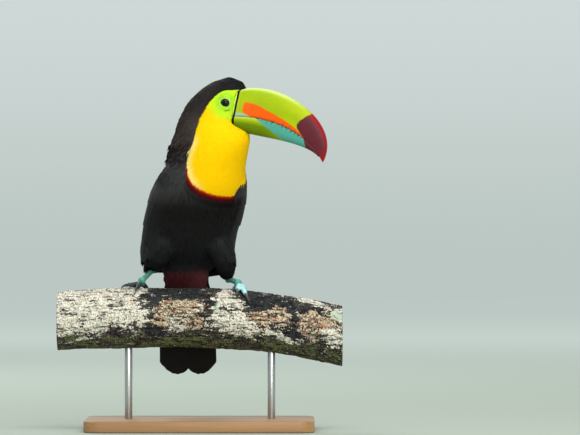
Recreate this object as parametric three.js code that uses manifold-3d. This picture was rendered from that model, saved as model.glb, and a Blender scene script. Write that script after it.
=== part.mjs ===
// A keel-billed toucan gripping a cut length of branch, as a life-size museum model on a plain stand.
//
// Millimetres, +Z up. The origin is the centre of the stand's underside. +X runs along the branch, to
// the side that the bill points to, and the breast faces -Y. Left and right are the bird's own.

import * as THREE from "three";
import { mergeVertices } from "three/addons/utils/BufferGeometryUtils.js";
import Module from "manifold-3d";

// ---------------------------------------------------------------- driving sizes

const gap = 0.3; // clearance between pieces that touch

// Level sections of the body, from the tail root up to the crown. x and y place the middle of the
// section, half is its half-width, front and back are its reach ahead and behind, and turn is the way
// it faces, in degrees from -Y toward +X.
const bodySections = [
  { z: 148, x: -15, y: 42, half: 20, front: 6, back: 7, turn: 0 }, // tail root
  { z: 163, x: -15, y: 34, half: 22, front: 13, back: 13, turn: 0 }, // vent
  { z: 178, x: -14, y: 23, half: 36.5, front: 25, back: 21, turn: 3 }, // rump
  { z: 200, x: -11.5, y: 10, half: 44, front: 39, back: 32, turn: 6 }, // belly
  { z: 225, x: -6.5, y: -1, half: 46, front: 47, back: 39, turn: 12 }, // back
  { z: 250, x: -1, y: -10, half: 46, front: 49, back: 41, turn: 20 }, // breast
  { z: 270, x: 4, y: -17, half: 43, front: 47, back: 40, turn: 28 }, // shoulders
  { z: 285, x: 7.5, y: -22, half: 40, front: 46, back: 40.5, turn: 38 }, // neck base
  { z: 300, x: 10, y: -25, half: 36, front: 47, back: 43.2, turn: 50 }, // neck
  { z: 313, x: 11, y: -27, half: 31, front: 43.5, back: 38, turn: 63 }, // throat
  { z: 320.5, x: 11.4, y: -27.6, half: 28.2, front: 33.2, back: 36.3, turn: 68 }, // chin
  { z: 326, x: 12, y: -28, half: 26, front: 35.5, back: 34, turn: 72 }, // cheeks
  { z: 343, x: 15, y: -28, half: 23.5, front: 40.5, back: 27.6, turn: 75 }, // eyes
  { z: 356, x: 21, y: -29, half: 17.2, front: 30, back: 21, turn: 75 }, // brow
  { z: 363.5, x: 26, y: -30, half: 13.5, front: 21.2, back: 15, turn: 75 }, // crown
  { z: 367.5, x: 29.5, y: -31, half: 8.6, front: 12, back: 9, turn: 75 },
  { z: 369.8, x: 31, y: -31.5, half: 2, front: 2.5, back: 2, turn: 75 }, // top of the crown
];

// Level sections of the outside of the folded wings, as one outline round the whole bird.
const wingSections = [
  { z: 142, x: -8, y: 6, half: 44, front: 30, back: 52, turn: 0 }, // primary tips
  { z: 157, x: -11.2, y: 6, half: 47.2, front: 32, back: 50, turn: 0 },
  { z: 180, x: -13.3, y: 6, half: 49.5, front: 38, back: 45, turn: 2 }, // secondaries
  { z: 205, x: -11.3, y: 5, half: 50.5, front: 44, back: 43, turn: 5 },
  { z: 230, x: -5, y: -3, half: 52, front: 48, back: 45, turn: 10 }, // folded elbow
  { z: 250, x: -1, y: -10, half: 51, front: 50, back: 46, turn: 16 },
  { z: 268, x: 3, y: -16, half: 48, front: 48, back: 43, turn: 24 }, // bend of the wing
  { z: 290, x: 8.5, y: -23, half: 41, front: 42, back: 38, turn: 40 },
];
const wingTop = 287; // height of the shoulder
const wingTopFall = 30; // how far the wing's upper edge drops toward the breast and the back
const wingTip = 142; // height of the longest feather tips, over the tail root
const wingHem = { left: 158, right: 162.5 }; // height of the hem along the bird's side
const wingGapHem = 174; // height of the hem behind the thigh, where the light shows through
const wingHemRise = 30; // how far the hem rises toward the leading edge
const wingLead = 46; // the leading edge's angle ahead of the bird's side
const wingTrail = { top: -56, tip: -83 }; // the trailing edge's angle, toward the middle of the back
const wingThick = 7;
const featherEdge = 1.2;
// The soft coverts under the tail, as two level ovals, and how far they swell between them.
const undertail = {
  top: { z: 182, x: -15, y: 12, half: 20, deep: 12 },
  low: { z: 132, x: -15.5, y: 45, half: 18, deep: 5 },
  swellHalf: 5,
  swellDeep: 3,
};

const headTurn = 75;
const billPitch = 17; // degrees below level
const billBase = new THREE.Vector3(37.8, -34.4, 333.9);
const billTip = [105.7, -24.2];
// Three edges of the bill in its own middle plane, each a curve from the base to the tip. A point is
// [along the bill, above its axis].
const culmen = [[-2.8, 21.6], [29, 46.6], [116, 25.7], billTip];
const mouth = [[2.2, -5.3], [33, 5.5], [82, 4.5], billTip];
const keel = [[5.5, -18.3], [28, -21.3], [88, -4.7], billTip];
const billHalfWidth = 16.5;
const billRoot = 3; // length of bill hidden in the feathers of the face
const billRootNarrowing = 0.55;
const mandibleEnd = 0.92; // the upper tip hooks over the lower one here
const upperFullness = 0.72; // the lower this is, the squarer the section
const lowerFullness = 0.8;

const eyeRadius = 6.6;
const eyePlace = { along: -8.7, up: 6.2, out: 16 };

const tail = {
  root: new THREE.Vector3(-14.5, 37, 172),
  tip: new THREE.Vector3(-13.6, 72, 58),
  rootHalf: 20,
  tipHalf: 31.2,
  fan: 0.75, // the lower this is, the sooner the tail is wide
  rootThick: 9,
  tipThick: 1.8,
  camber: 5,
  notch: 0.035,
  corner: 0.13,
};

const perch = { half: 150, radius: 32, height: 119, crest: -50, bow: 0.0005, knobble: 1.2 };

// The legs. The ankle is the heel that points back, and foot is the place along the branch, with the
// angle round it from the top toward the front, where the toes meet.
const legs = {
  right: {
    hip: new THREE.Vector3(-36, -8, 206),
    knee: new THREE.Vector3(-43, -6, 186),
    ankle: new THREE.Vector3(-48, 23, 169.5),
    foot: { x: -62, angle: 1 },
    thighRadius: 18,
    toes: [
      { x: -65, angle: 22 },
      { x: -74.5, angle: 14 },
      { x: -71, angle: -44 },
      { x: -56, angle: -36 },
    ],
  },
  left: {
    hip: new THREE.Vector3(14, -6, 204),
    knee: new THREE.Vector3(25, -2, 180),
    ankle: new THREE.Vector3(28.5, 22, 158),
    foot: { x: 41, angle: 1 },
    thighRadius: 17,
    toes: [
      { x: 39.5, angle: 30 },
      { x: 48.5, angle: 38 },
      { x: 34, angle: -36 },
      { x: 50, angle: -44 },
    ],
  },
};
const thighEnd = 5.8; // radius of the feathers at the heel
const tarsusRadius = 3;
const heelSwell = 1.5; // added to the tarsus at the heel
const ballSwell = 1.9; // added to the tarsus at the ball of the foot
const ballLift = 2.4; // lift of the ball's middle above a tarsus lying on the bark
const toeRadius = 2.9;
const toeStart = 0.17; // the part of a toe's length that lies inside the ball of the foot
const clawLength = 11;
const clawRoot = 1.9; // radius of a claw where it leaves its toe
const clawPoint = 0.45; // radius of its point

const stand = { length: 240, depth: 150, thick: 12, corner: 18, bevel: 1.5 };
const rod = { radius: 4, spread: 75, inBase: 8, inPerch: 14 };

// ---------------------------------------------------------------- making solids

const wasm = await Module();
wasm.setup();

const radians = (degrees) => (degrees * Math.PI) / 180;
const { lerp, smoothstep } = THREE.MathUtils;

// One closed mesh from its points and faces, turned so that every face points out.
function closed(points, faces) {
  let volume = 0;
  for (const [a, b, c] of faces) {
    volume += points[a].dot(new THREE.Vector3().crossVectors(points[b], points[c]));
  }
  const outward = volume > 0 ? faces : faces.map(([a, b, c]) => [a, c, b]);
  const geometry = new THREE.BufferGeometry().setFromPoints(points);
  geometry.setIndex(outward.flat());
  return geometry;
}

// A skin over a row of rings with the same number of points, closed by a fan at each end.
function loft(rings) {
  const around = rings[0].length;
  const points = rings.flat();
  const faces = [];
  for (let row = 0; row + 1 < rings.length; row++) {
    for (let i = 0; i < around; i++) {
      const here = row * around + i;
      const next = row * around + ((i + 1) % around);
      faces.push([here, next, next + around], [here, next + around, here + around]);
    }
  }
  for (const [row, flip] of [[0, false], [rings.length - 1, true]]) {
    const middle = new THREE.Vector3();
    rings[row].forEach((point) => middle.addScaledVector(point, 1 / around));
    const centre = points.push(middle) - 1;
    for (let i = 0; i < around; i++) {
      const here = row * around + i;
      const next = row * around + ((i + 1) % around);
      faces.push(flip ? [centre, here, next] : [centre, next, here]);
    }
  }
  return closed(points, faces);
}

// A plate between two surfaces, each a function of (u, v) that runs from 0 to 1 in both.
function plate(upper, lower, across, along) {
  const points = [];
  for (const surface of [upper, lower]) {
    for (let row = 0; row <= along; row++) {
      for (let i = 0; i <= across; i++) {
        points.push(surface(i / across, row / along));
      }
    }
  }
  const stride = across + 1;
  const sheet = stride * (along + 1);
  const faces = [];
  const quad = (a, b, c, d) => faces.push([a, b, c], [a, c, d]);
  for (let row = 0; row < along; row++) {
    for (let i = 0; i < across; i++) {
      const at = row * stride + i;
      quad(at, at + 1, at + stride + 1, at + stride);
      quad(sheet + at, sheet + at + stride, sheet + at + stride + 1, sheet + at + 1);
    }
    const first = row * stride;
    const last = first + across;
    quad(first, first + stride, sheet + first + stride, sheet + first);
    quad(last, sheet + last, sheet + last + stride, last + stride);
  }
  const end = along * stride;
  for (let i = 0; i < across; i++) {
    quad(i, sheet + i, sheet + i + 1, i + 1);
    quad(end + i, end + i + 1, sheet + end + i + 1, sheet + end + i);
  }
  return closed(points, faces);
}

// A round tube along a curve. Its radius is a function of the way along, and its ends are rounded.
function tube(curve, radiusAt, steps, sides) {
  const frames = curve.computeFrenetFrames(steps, false);
  const rings = [];
  for (let step = 0; step <= steps; step++) {
    const along = step / steps;
    const middle = curve.getPointAt(along);
    const ring = [];
    for (let i = 0; i < sides; i++) {
      const angle = (2 * Math.PI * i) / sides;
      ring.push(middle.clone()
        .addScaledVector(frames.normals[step], radiusAt(along) * Math.cos(angle))
        .addScaledVector(frames.binormals[step], radiusAt(along) * Math.sin(angle)));
    }
    rings.push(ring);
  }
  return loft(rings);
}

// 1 along most of the length, easing round to a blunt end over the last stretch at each end.
function bluntEnds(along, stretch, end = 0.45) {
  const near = Math.min(along, 1 - along) / stretch;
  return near >= 1 ? 1 : end + (1 - end) * Math.sqrt(1 - (1 - near) ** 2);
}

function solid(geometry) {
  const bare = geometry.clone();
  bare.deleteAttribute("normal");
  bare.deleteAttribute("uv");
  const merged = mergeVertices(bare, 1e-4);
  return new wasm.Manifold(new wasm.Mesh({
    numProp: 3,
    vertProperties: new Float32Array(merged.attributes.position.array),
    triVerts: new Uint32Array(merged.index.array),
  }));
}

function subtractAll(body, cutters) {
  return cutters.reduce((left, cutter) => left.subtract(cutter), body);
}

// The half of space on the side of a plane that its normal points to, as a large block.
function halfSpace(point, normal, offset) {
  const size = 600;
  const block = new THREE.BoxGeometry(size, size, size);
  block.translate(0, 0, size / 2 + offset);
  block.applyQuaternion(new THREE.Quaternion().setFromUnitVectors(new THREE.Vector3(0, 0, 1), normal));
  block.translate(point.x, point.y, point.z);
  return solid(block);
}

// ---------------------------------------------------------------- body, neck and head

const sectionKeys = ["x", "y", "half", "front", "back", "turn"];

// The section at any height, on a smooth curve through the listed ones.
function sectionReader(sections) {
  const heights = sections.map((section) => section.z);
  const values = sections.flatMap((section) => sectionKeys.map((key) => section[key]));
  const curve = new THREE.CubicInterpolant(heights, values, sectionKeys.length);
  return (z) => {
    const found = curve.evaluate(THREE.MathUtils.clamp(z, heights[0], heights.at(-1)));
    return Object.fromEntries([["z", z], ...sectionKeys.map((key, i) => [key, found[i]])]);
  };
}

// A point on a section's edge. The angle starts at the bird's left side and runs through the breast.
function onSection(section, degrees, grow) {
  const angle = radians(degrees);
  const turn = radians(section.turn);
  const reach = Math.sin(angle) > 0 ? section.front : section.back;
  const across = (section.half + grow) * Math.cos(angle);
  const ahead = (reach + grow) * Math.sin(angle);
  return new THREE.Vector3(
    section.x + across * Math.cos(turn) + ahead * Math.sin(turn),
    section.y + across * Math.sin(turn) - ahead * Math.cos(turn),
    section.z,
  );
}

const bodyAt = sectionReader(bodySections);
const wingAt = sectionReader(wingSections);

function bodyLoft(grow) {
  const rows = 22;
  const around = 26;
  const foot = bodySections[0].z - grow;
  const top = bodySections.at(-1).z + grow;
  const rings = [];
  for (let row = 0; row <= rows; row++) {
    const way = row / rows;
    const eased = (way + Math.sin((way * Math.PI) / 2)) / 2; // rows crowd together at the crown
    const section = bodyAt(lerp(foot, top, eased));
    const ring = [];
    for (let i = 0; i < around; i++) {
      ring.push(onSection(section, (360 * i) / around, grow));
    }
    rings.push(ring);
  }
  return solid(loft(rings));
}

// ---------------------------------------------------------------- bill

const facing = new THREE.Vector3(Math.sin(radians(headTurn)), -Math.cos(radians(headTurn)), 0);
const headRight = new THREE.Vector3(-Math.cos(radians(headTurn)), -Math.sin(radians(headTurn)), 0);
const billAhead = facing.clone().multiplyScalar(Math.cos(radians(billPitch)));
billAhead.z = -Math.sin(radians(billPitch));
const billUp = facing.clone().multiplyScalar(Math.sin(radians(billPitch)));
billUp.z = Math.cos(radians(billPitch));

function headPoint(along, up, right) {
  return billBase.clone()
    .addScaledVector(billAhead, along)
    .addScaledVector(billUp, up)
    .addScaledVector(headRight, right);
}

function planeCurve(points) {
  return new THREE.CubicBezierCurve(...points.map(([along, up]) => new THREE.Vector2(along, up)));
}

const mouthCurve = planeCurve(mouth);

// Half-width of the bill from its base (0) to its tip (1).
function billWidthAt(way) {
  return billHalfWidth * Math.pow(1 - way, 0.62) * (1 - 0.22 * Math.sin(Math.PI * way)) + 0.5;
}

// One half of the bill between the mouth line and its outer edge. Its sides stay full for most of
// their height and close in to a rounded ridge.
function billHalf(edge, end, fullness, grow) {
  const outer = planeCurve(edge);
  const rows = 13;
  const sides = 10;
  const rings = [];
  for (let row = -1; row <= rows; row++) {
    const way = (Math.max(row, 0) / rows) * end;
    const low = mouthCurve.getPoint(way);
    const high = outer.getPoint(way);
    const rise = high.clone().sub(low);
    const height = rise.length();
    rise.normalize();
    const half = billWidthAt(way) * (row < 0 ? billRootNarrowing : 1);
    const ring = [];
    for (let i = 0; i <= sides; i++) {
      const angle = (Math.PI * i) / sides;
      const right = (half + grow) * Math.sign(Math.cos(angle)) * Math.abs(Math.cos(angle)) ** fullness;
      const up = (height - gap / 2 + grow) * Math.sin(angle) ** fullness + gap / 2 - (i % sides ? 0 : grow);
      const back = row < 0 ? billRoot + grow : 0;
      ring.push(headPoint(low.x + rise.x * up - back, low.y + rise.y * up, right));
    }
    rings.push(ring);
  }
  return solid(loft(rings));
}

// ---------------------------------------------------------------- wings and tail

// A folded wing: a shell that starts flush with the shoulder, swells over the side, and hangs free of
// the body along its hem. hand is 1 for the left wing and -1 for the right.
function foldedWing(hand, grow) {
  const place = (u, v, inward) => {
    const across = 2 * u - 1;
    const trail = lerp(wingTrail.top, wingTrail.tip, Math.sqrt(v));
    const lean = lerp(wingLead + grow, trail - grow, u); // a degree is near a millimetre here
    const degrees = hand > 0 ? lean : 180 - lean;
    const top = wingTop - wingTopFall * across ** 2 + grow;
    const sideHem = hand > 0 ? wingHem.left : wingHem.right;
    const backHem = lerp(sideHem, wingGapHem, smoothstep(across, 0.33, 0.56));
    const low = lerp(backHem, wingTip, smoothstep(across, 0.8, 0.97));
    const hem = low + wingHemRise * Math.max(0, -across - 0.2) ** 1.5 - grow;
    const z = lerp(top, hem, v);
    const swell = (1 - across ** 4) * Math.min(1, Math.sqrt(v / 0.3));
    const flush = onSection(bodyAt(z), degrees, featherEdge);
    const full = onSection(wingAt(z), degrees, 0);
    const outer = flush.lerp(full, swell);
    const section = bodyAt(z);
    const middle = new THREE.Vector3(section.x, section.y, z);
    const inwards = middle.sub(outer).normalize();
    const thick = featherEdge + (wingThick - featherEdge) * (1 - across ** 2) * (1 - v ** 4);
    return outer.addScaledVector(inwards, inward ? thick + grow : -grow);
  };
  return solid(plate((u, v) => place(u, v, false), (u, v) => place(u, v, true), 9, 10));
}

// The closed tail: a long plate that is slightly arched across, with a shallow notch between two
// rounded lobes at its end.
function tailPlate(grow) {
  const run = tail.tip.clone().sub(tail.root);
  const across = new THREE.Vector3(1, 0, 0);
  const out = new THREE.Vector3().crossVectors(across, run).normalize(); // toward the bird's back
  const place = (u, v, face) => {
    const side = 2 * u - 1;
    const reach = 1 - tail.notch * Math.cos(Math.PI * side) ** 2 - tail.corner * Math.abs(side) ** 6;
    const half = lerp(tail.rootHalf, tail.tipHalf, v ** tail.fan) + grow;
    const thick = lerp(tail.rootThick, tail.tipThick, Math.sqrt(v)) * (1 - 0.6 * side ** 4);
    return tail.root.clone()
      .addScaledVector(run, v * reach)
      .addScaledVector(across, side * half)
      .addScaledVector(out, face * (thick / 2 + grow) - tail.camber * side ** 2);
  };
  return solid(plate((u, v) => place(u, v, 1), (u, v) => place(u, v, -1), 12, 6));
}

// The long soft coverts under the tail, which fill the angle between the belly and the tail.
function undertailCoverts(grow) {
  const { top, low, swellHalf, swellDeep } = undertail;
  const rows = 6;
  const around = 16;
  const rings = [];
  for (let row = 0; row <= rows; row++) {
    const way = row / rows;
    const swell = Math.sin(Math.PI * way);
    const rounding = Math.sqrt(1 - 0.6 * way ** 6);
    const ring = [];
    for (let i = 0; i < around; i++) {
      const angle = (2 * Math.PI * i) / around;
      const half = (lerp(top.half, low.half, way) + swellHalf * swell) * rounding + grow;
      const deep = lerp(top.deep, low.deep, way) + swellDeep * swell + grow;
      ring.push(new THREE.Vector3(
        lerp(top.x, low.x, way) + half * Math.cos(angle),
        lerp(top.y, low.y, way) + deep * Math.sin(angle),
        lerp(top.z, low.z, way),
      ));
    }
    rings.push(ring);
  }
  return solid(loft(rings));
}

// ---------------------------------------------------------------- branch, legs and feet

function perchRadius(x, degrees) {
  const angle = radians(degrees);
  return perch.radius + perch.knobble * (Math.sin(x / 41 + angle) + 0.5 * Math.sin(x / 17 + 2 * angle));
}

// A point at a lift above the bark. The angle runs from the top of the branch toward the front.
function perchPoint(x, degrees, lift) {
  const reach = perchRadius(x, degrees) + lift;
  return new THREE.Vector3(
    x,
    -reach * Math.sin(radians(degrees)),
    perch.height - perch.bow * (x - perch.crest) ** 2 + reach * Math.cos(radians(degrees)),
  );
}

function branch() {
  const rows = 12;
  const around = 24;
  const rings = [];
  for (let row = 0; row <= rows; row++) {
    const ring = [];
    for (let i = 0; i < around; i++) {
      ring.push(perchPoint(lerp(-perch.half, perch.half, row / rows), (360 * i) / around, 0));
    }
    rings.push(ring);
  }
  return solid(loft(rings));
}

function footCentre(leg, lift) {
  return perchPoint(leg.foot.x, leg.foot.angle, lift);
}

// The feathered thigh, from the hip down to the heel.
function thigh(leg, grow) {
  const curve = new THREE.CatmullRomCurve3([leg.hip, leg.knee, leg.ankle]);
  const radiusAt = (way) => lerp(leg.thighRadius, thighEnd, way ** 1.5) * bluntEnds(way, 0.2) + grow;
  return solid(tube(curve, radiusAt, 7, 14));
}

// The bare shank, from the heel to the ball of the foot.
function tarsus(leg, grow) {
  const ball = footCentre(leg, tarsusRadius + ballLift);
  const middle = leg.ankle.clone().lerp(ball, 0.55).add(new THREE.Vector3(0, 0, 1.5));
  const curve = new THREE.QuadraticBezierCurve3(leg.ankle, middle, ball);
  const heel = (way) => heelSwell * Math.exp(-((way / 0.12) ** 2));
  const foot = (way) => ballSwell * Math.exp(-(((1 - way) / 0.16) ** 2));
  const radiusAt = (way) => (tarsusRadius + heel(way) + foot(way)) * bluntEnds(way, 0.12) + grow;
  return solid(tube(curve, radiusAt, 6, 8));
}

function toe(leg, goal, grow) {
  const places = [];
  for (let step = 0; step <= 4; step++) {
    const way = lerp(toeStart, 1, step / 4);
    const x = lerp(leg.foot.x, goal.x, way);
    places.push(perchPoint(x, lerp(leg.foot.angle, goal.angle, way), toeRadius + gap));
  }
  const curve = new THREE.CatmullRomCurve3(places);
  const radiusAt = (way) => toeRadius * (1 - 0.2 * way) * bluntEnds(way, 0.14) + grow;
  return solid(tube(curve, radiusAt, 6, 7));
}

// A claw that leaves the end of its toe, arches, and comes down to the bark.
function claw(leg, goal) {
  const degreesPerMm = 180 / (Math.PI * perch.radius);
  const run = new THREE.Vector2(
    goal.x - leg.foot.x,
    (goal.angle - leg.foot.angle) / degreesPerMm,
  ).normalize(); // the toe's own way, along the branch and round it
  const reach = (length, lift) => perchPoint(
    goal.x + run.x * length,
    goal.angle + run.y * length * degreesPerMm,
    lift,
  );
  const curve = new THREE.CubicBezierCurve3(
    reach(2 * gap, toeRadius + gap),
    reach(clawLength * 0.35, toeRadius + 2.6),
    reach(clawLength * 0.75, toeRadius + 0.8),
    reach(clawLength * 0.86, 0.9),
  );
  const radiusAt = (way) => lerp(clawRoot, clawPoint, way ** 0.8);
  return solid(tube(curve, radiusAt, 5, 6));
}

// ---------------------------------------------------------------- stand

function standBase() {
  const x = stand.length / 2 - stand.bevel;
  const y = stand.depth / 2 - stand.bevel;
  const r = stand.corner;
  const outline = new THREE.Shape();
  outline.moveTo(-x + r, -y);
  outline.lineTo(x - r, -y);
  outline.absarc(x - r, -y + r, r, -Math.PI / 2, 0);
  outline.lineTo(x, y - r);
  outline.absarc(x - r, y - r, r, 0, Math.PI / 2);
  outline.lineTo(-x + r, y);
  outline.absarc(-x + r, y - r, r, Math.PI / 2, Math.PI);
  outline.lineTo(-x, -y + r);
  outline.absarc(-x + r, -y + r, r, Math.PI, 1.5 * Math.PI);
  const geometry = new THREE.ExtrudeGeometry(outline, {
    depth: stand.thick - 2 * stand.bevel,
    bevelThickness: stand.bevel,
    bevelSize: stand.bevel,
    bevelSegments: 1,
    curveSegments: 4,
  });
  geometry.translate(0, 0, stand.bevel);
  return solid(geometry);
}

function standRod(side, grow) {
  const x = side * rod.spread;
  const foot = stand.thick - rod.inBase - grow;
  const top = perchPoint(x, 180, 0).z + rod.inPerch + grow;
  const geometry = new THREE.CylinderGeometry(rod.radius + grow, rod.radius + grow, top - foot, 12);
  geometry.rotateX(Math.PI / 2);
  geometry.translate(x, 0, (foot + top) / 2);
  return solid(geometry);
}

// ---------------------------------------------------------------- cutting the bird into its parts

const body = bodyLoft(0);
const bodyRoom = bodyLoft(gap);
const billUpper = billHalf(culmen, 1, upperFullness, 0);
const billLower = billHalf(keel, mandibleEnd, lowerFullness, 0);
const billRoom = [billHalf(culmen, 1, upperFullness, gap), billHalf(keel, mandibleEnd, lowerFullness, gap)];

function eyeball(side, grow) {
  const place = headPoint(eyePlace.along, eyePlace.up, side * eyePlace.out);
  const ball = new THREE.SphereGeometry(eyeRadius + grow, 12, 8);
  ball.translate(place.x, place.y, place.z);
  return solid(ball);
}

const neckCut = { point: new THREE.Vector3(5, -22, 281), normal: new THREE.Vector3(0.1, -0.12, 1) };
const headCut = { point: new THREE.Vector3(12, -28, 315), normal: new THREE.Vector3(0.2, 0, 1) };
for (const cut of [neckCut, headCut]) {
  cut.normal.normalize();
  cut.above = halfSpace(cut.point, cut.normal, gap / 2);
  cut.below = halfSpace(cut.point, cut.normal.clone().negate(), gap / 2);
}

const wings = { left: foldedWing(1, 0), right: foldedWing(-1, 0) };
const wingRoom = [foldedWing(1, gap), foldedWing(-1, gap)];
const thighRoom = [thigh(legs.left, gap), thigh(legs.right, gap)];
const shankRoom = [tarsus(legs.left, gap), tarsus(legs.right, gap)];
const tailRoom = tailPlate(gap);
const head = subtractAll(body.intersect(headCut.above), [...billRoom, eyeball(1, gap), eyeball(-1, gap)]);
const neck = subtractAll(body.intersect(neckCut.above).intersect(headCut.below), [...billRoom, ...wingRoom]);
const rods = { left: standRod(1, 0), right: standRod(-1, 0) };
const rodRoom = [standRod(1, gap), standRod(-1, gap)];

// ---------------------------------------------------------------- materials

function material(color, roughness, metalness = 0) {
  return new THREE.MeshStandardMaterial({ color, roughness, metalness });
}

const black = material(0x15130f, 0.75);
const yellow = material(0xf2d200, 0.8);
const red = material(0x8e1416, 0.8);
const limeHorn = material(0xa9cc10, 0.35);
const oliveHorn = material(0x7fa51c, 0.35);
const teal = material(0x4fa79c, 0.55);
const claws = material(0x2b2a26, 0.45);
const gloss = material(0x12170d, 0.08);
const bark = material(0x5f564a, 0.95);
const oak = material(0x8a6a46, 0.6);
const steel = material(0x9a9c9e, 0.35, 0.9);

// ---------------------------------------------------------------- the whole model

const toucan = new THREE.Group();

function add(name, piece, finish) {
  const mesh = piece.getMesh();
  const geometry = new THREE.BufferGeometry();
  geometry.setAttribute("position", new THREE.BufferAttribute(mesh.vertProperties, 3));
  geometry.setIndex(new THREE.BufferAttribute(mesh.triVerts, 1));
  geometry.computeVertexNormals();
  const part = new THREE.Mesh(geometry, finish);
  part.name = name;
  toucan.add(part);
}

add("trunk", body.intersect(neckCut.below), black);
add("neck", neck, yellow);
add("head", head, black);
add("bill_upper", billUpper, limeHorn);
add("bill_lower", billLower, oliveHorn);
add("eye_left", eyeball(-1, 0), gloss);
add("eye_right", eyeball(1, 0), gloss);
add("wing_left", subtractAll(wings.left, [bodyRoom, ...shankRoom, ...thighRoom]), black);
add("wing_right", subtractAll(wings.right, [bodyRoom, ...shankRoom, ...thighRoom]), black);
add("tail", subtractAll(tailPlate(0), [bodyRoom, ...wingRoom]), black);
add("tail_coverts", subtractAll(undertailCoverts(0), [bodyRoom, tailRoom, ...wingRoom]), red);

for (const [side, leg] of Object.entries(legs)) {
  add(`thigh_${side}`, subtractAll(thigh(leg, 0), [bodyRoom, ...shankRoom]), black);
  add(`tarsus_${side}`, tarsus(leg, 0), teal);
  leg.toes.forEach((goal, i) => {
    const earlier = leg.toes.slice(0, i).map((other) => toe(leg, other, gap));
    add(`toe_${side}_${i + 1}`, subtractAll(toe(leg, goal, 0), [...shankRoom, ...earlier]), teal);
    add(`claw_${side}_${i + 1}`, claw(leg, goal), claws);
  });
}

add("perch", subtractAll(branch(), rodRoom), bark);
add("stand_base", subtractAll(standBase(), rodRoom), oak);
add("stand_rod_left", rods.left, steel);
add("stand_rod_right", rods.right, steel);

export default toucan;
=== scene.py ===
# %% [markdown]
# # A keel-billed toucan on its branch
# The bird sits breast forward with its head turned to its own left, so that its right cheek and the whole
# length of the bill show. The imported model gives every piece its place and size. This lesson gives the
# bird its skin, over twenty thousand feathers, horn, scales and bark, and leaves each of them where the
# model has it. Lengths are in millimetres all through, and a finished piece is scaled to metres once.

# %% Load the frame
import math
import bmesh
import bpy
import numpy as np
from mathutils import Matrix, Vector, noise
from mathutils.bvhtree import BVHTree


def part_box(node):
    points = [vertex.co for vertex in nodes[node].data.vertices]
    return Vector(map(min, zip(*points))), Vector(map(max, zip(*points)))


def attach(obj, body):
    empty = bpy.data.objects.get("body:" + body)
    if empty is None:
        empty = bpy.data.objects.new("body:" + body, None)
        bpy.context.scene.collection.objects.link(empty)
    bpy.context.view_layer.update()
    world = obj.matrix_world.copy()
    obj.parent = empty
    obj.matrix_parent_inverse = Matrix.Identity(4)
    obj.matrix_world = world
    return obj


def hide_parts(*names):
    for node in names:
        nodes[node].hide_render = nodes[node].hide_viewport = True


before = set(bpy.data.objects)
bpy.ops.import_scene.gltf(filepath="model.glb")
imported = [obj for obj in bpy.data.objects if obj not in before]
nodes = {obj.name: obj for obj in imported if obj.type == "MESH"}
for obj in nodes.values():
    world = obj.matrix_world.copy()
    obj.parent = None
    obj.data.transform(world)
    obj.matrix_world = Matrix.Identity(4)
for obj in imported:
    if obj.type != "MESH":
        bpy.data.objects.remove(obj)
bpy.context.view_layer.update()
MM = 0.001
random = np.random.default_rng(11)

# %% [markdown]
# ## Looking at the bird from far off
# A wild toucan is seen through a long lens. From five metres its bill and its breast are drawn at nearly
# the same scale, and a small studio camera placed close by would swell the bill. So the camera stands five
# metres off, level with the bird's belly, and the lens is chosen to show 609 mm across at the bird.

# %% The camera
camera_distance = 5.0
camera_height = 0.2231
camera_side = 0.0945
shown_width = 0.609
sensor = 36.0
camera_data = bpy.data.cameras.new("camera")
camera_data.sensor_width = sensor
camera_data.lens = sensor * camera_distance / shown_width
camera_data.clip_start = 0.1
camera_data.clip_end = 60.0
camera = bpy.data.objects.new("camera", camera_data)
camera.location = (camera_side, -camera_distance, camera_height)
camera.rotation_euler = (math.radians(90), 0, 0)
bpy.context.scene.collection.objects.link(camera)
bpy.context.scene.camera = camera
print("lens", round(camera_data.lens, 1), "mm")

# %% [markdown]
# ## An overcast studio
# The bird was seen under a bright, cloudy sky: light from all sides, a little more from above, and hardly
# a shadow. A pale world does most of that. A broad lamp high in front shapes the bill and the bib, a lower
# one from the front opens the shadows of the black breast, and a third behind puts a thin light along the
# back. The floor runs up into the backdrop in one curve, so that no line crosses the view.

# %% The lamps and the world
def soft_lamp(name, place, aim, size, power, colour):
    """A square lamp at a place, turned to shine at a point."""
    data = bpy.data.lights.new(name, "AREA")
    data.shape = "SQUARE"
    data.size = size
    data.energy = power
    data.color = colour
    lamp = bpy.data.objects.new(name, data)
    lamp.location = place
    away = Vector(place) - Vector(aim)
    lamp.rotation_euler = away.to_track_quat("Z", "Y").to_euler()
    bpy.context.scene.collection.objects.link(lamp)
    return lamp


bird_middle = (0.03, 0.0, 0.22)
soft_lamp("sky_lamp", (0.5, -1.2, 2.1), bird_middle, 1.6, 30, (1.0, 1.0, 1.0))
soft_lamp("front_lamp", (0.7, -3.0, 0.9), bird_middle, 1.8, 52, (1.0, 1.0, 0.98))
soft_lamp("rim_lamp", (-0.7, 1.6, 1.5), bird_middle, 1.2, 16, (1.0, 1.0, 1.0))
world = bpy.data.worlds.new("studio")
world.use_nodes = True
world.node_tree.nodes["Background"].inputs["Color"].default_value = (0.82, 0.86, 0.86, 1)
world.node_tree.nodes["Background"].inputs["Strength"].default_value = 0.72
bpy.context.scene.world = world
bpy.context.scene.view_settings.view_transform = "Standard"
bpy.context.scene.view_settings.look = "None"
print("three lamps and a pale world")

# %% [markdown]
# ## Small tools for making meshes
# Most pieces are shaped in a bmesh and end up the same way: scaled to metres, shaded smooth, linked,
# riding on the model's one body, and standing for the nodes that they replace. Feathers come in thousands,
# so they are written as joined arrays instead, and the same last step takes them.

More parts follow.
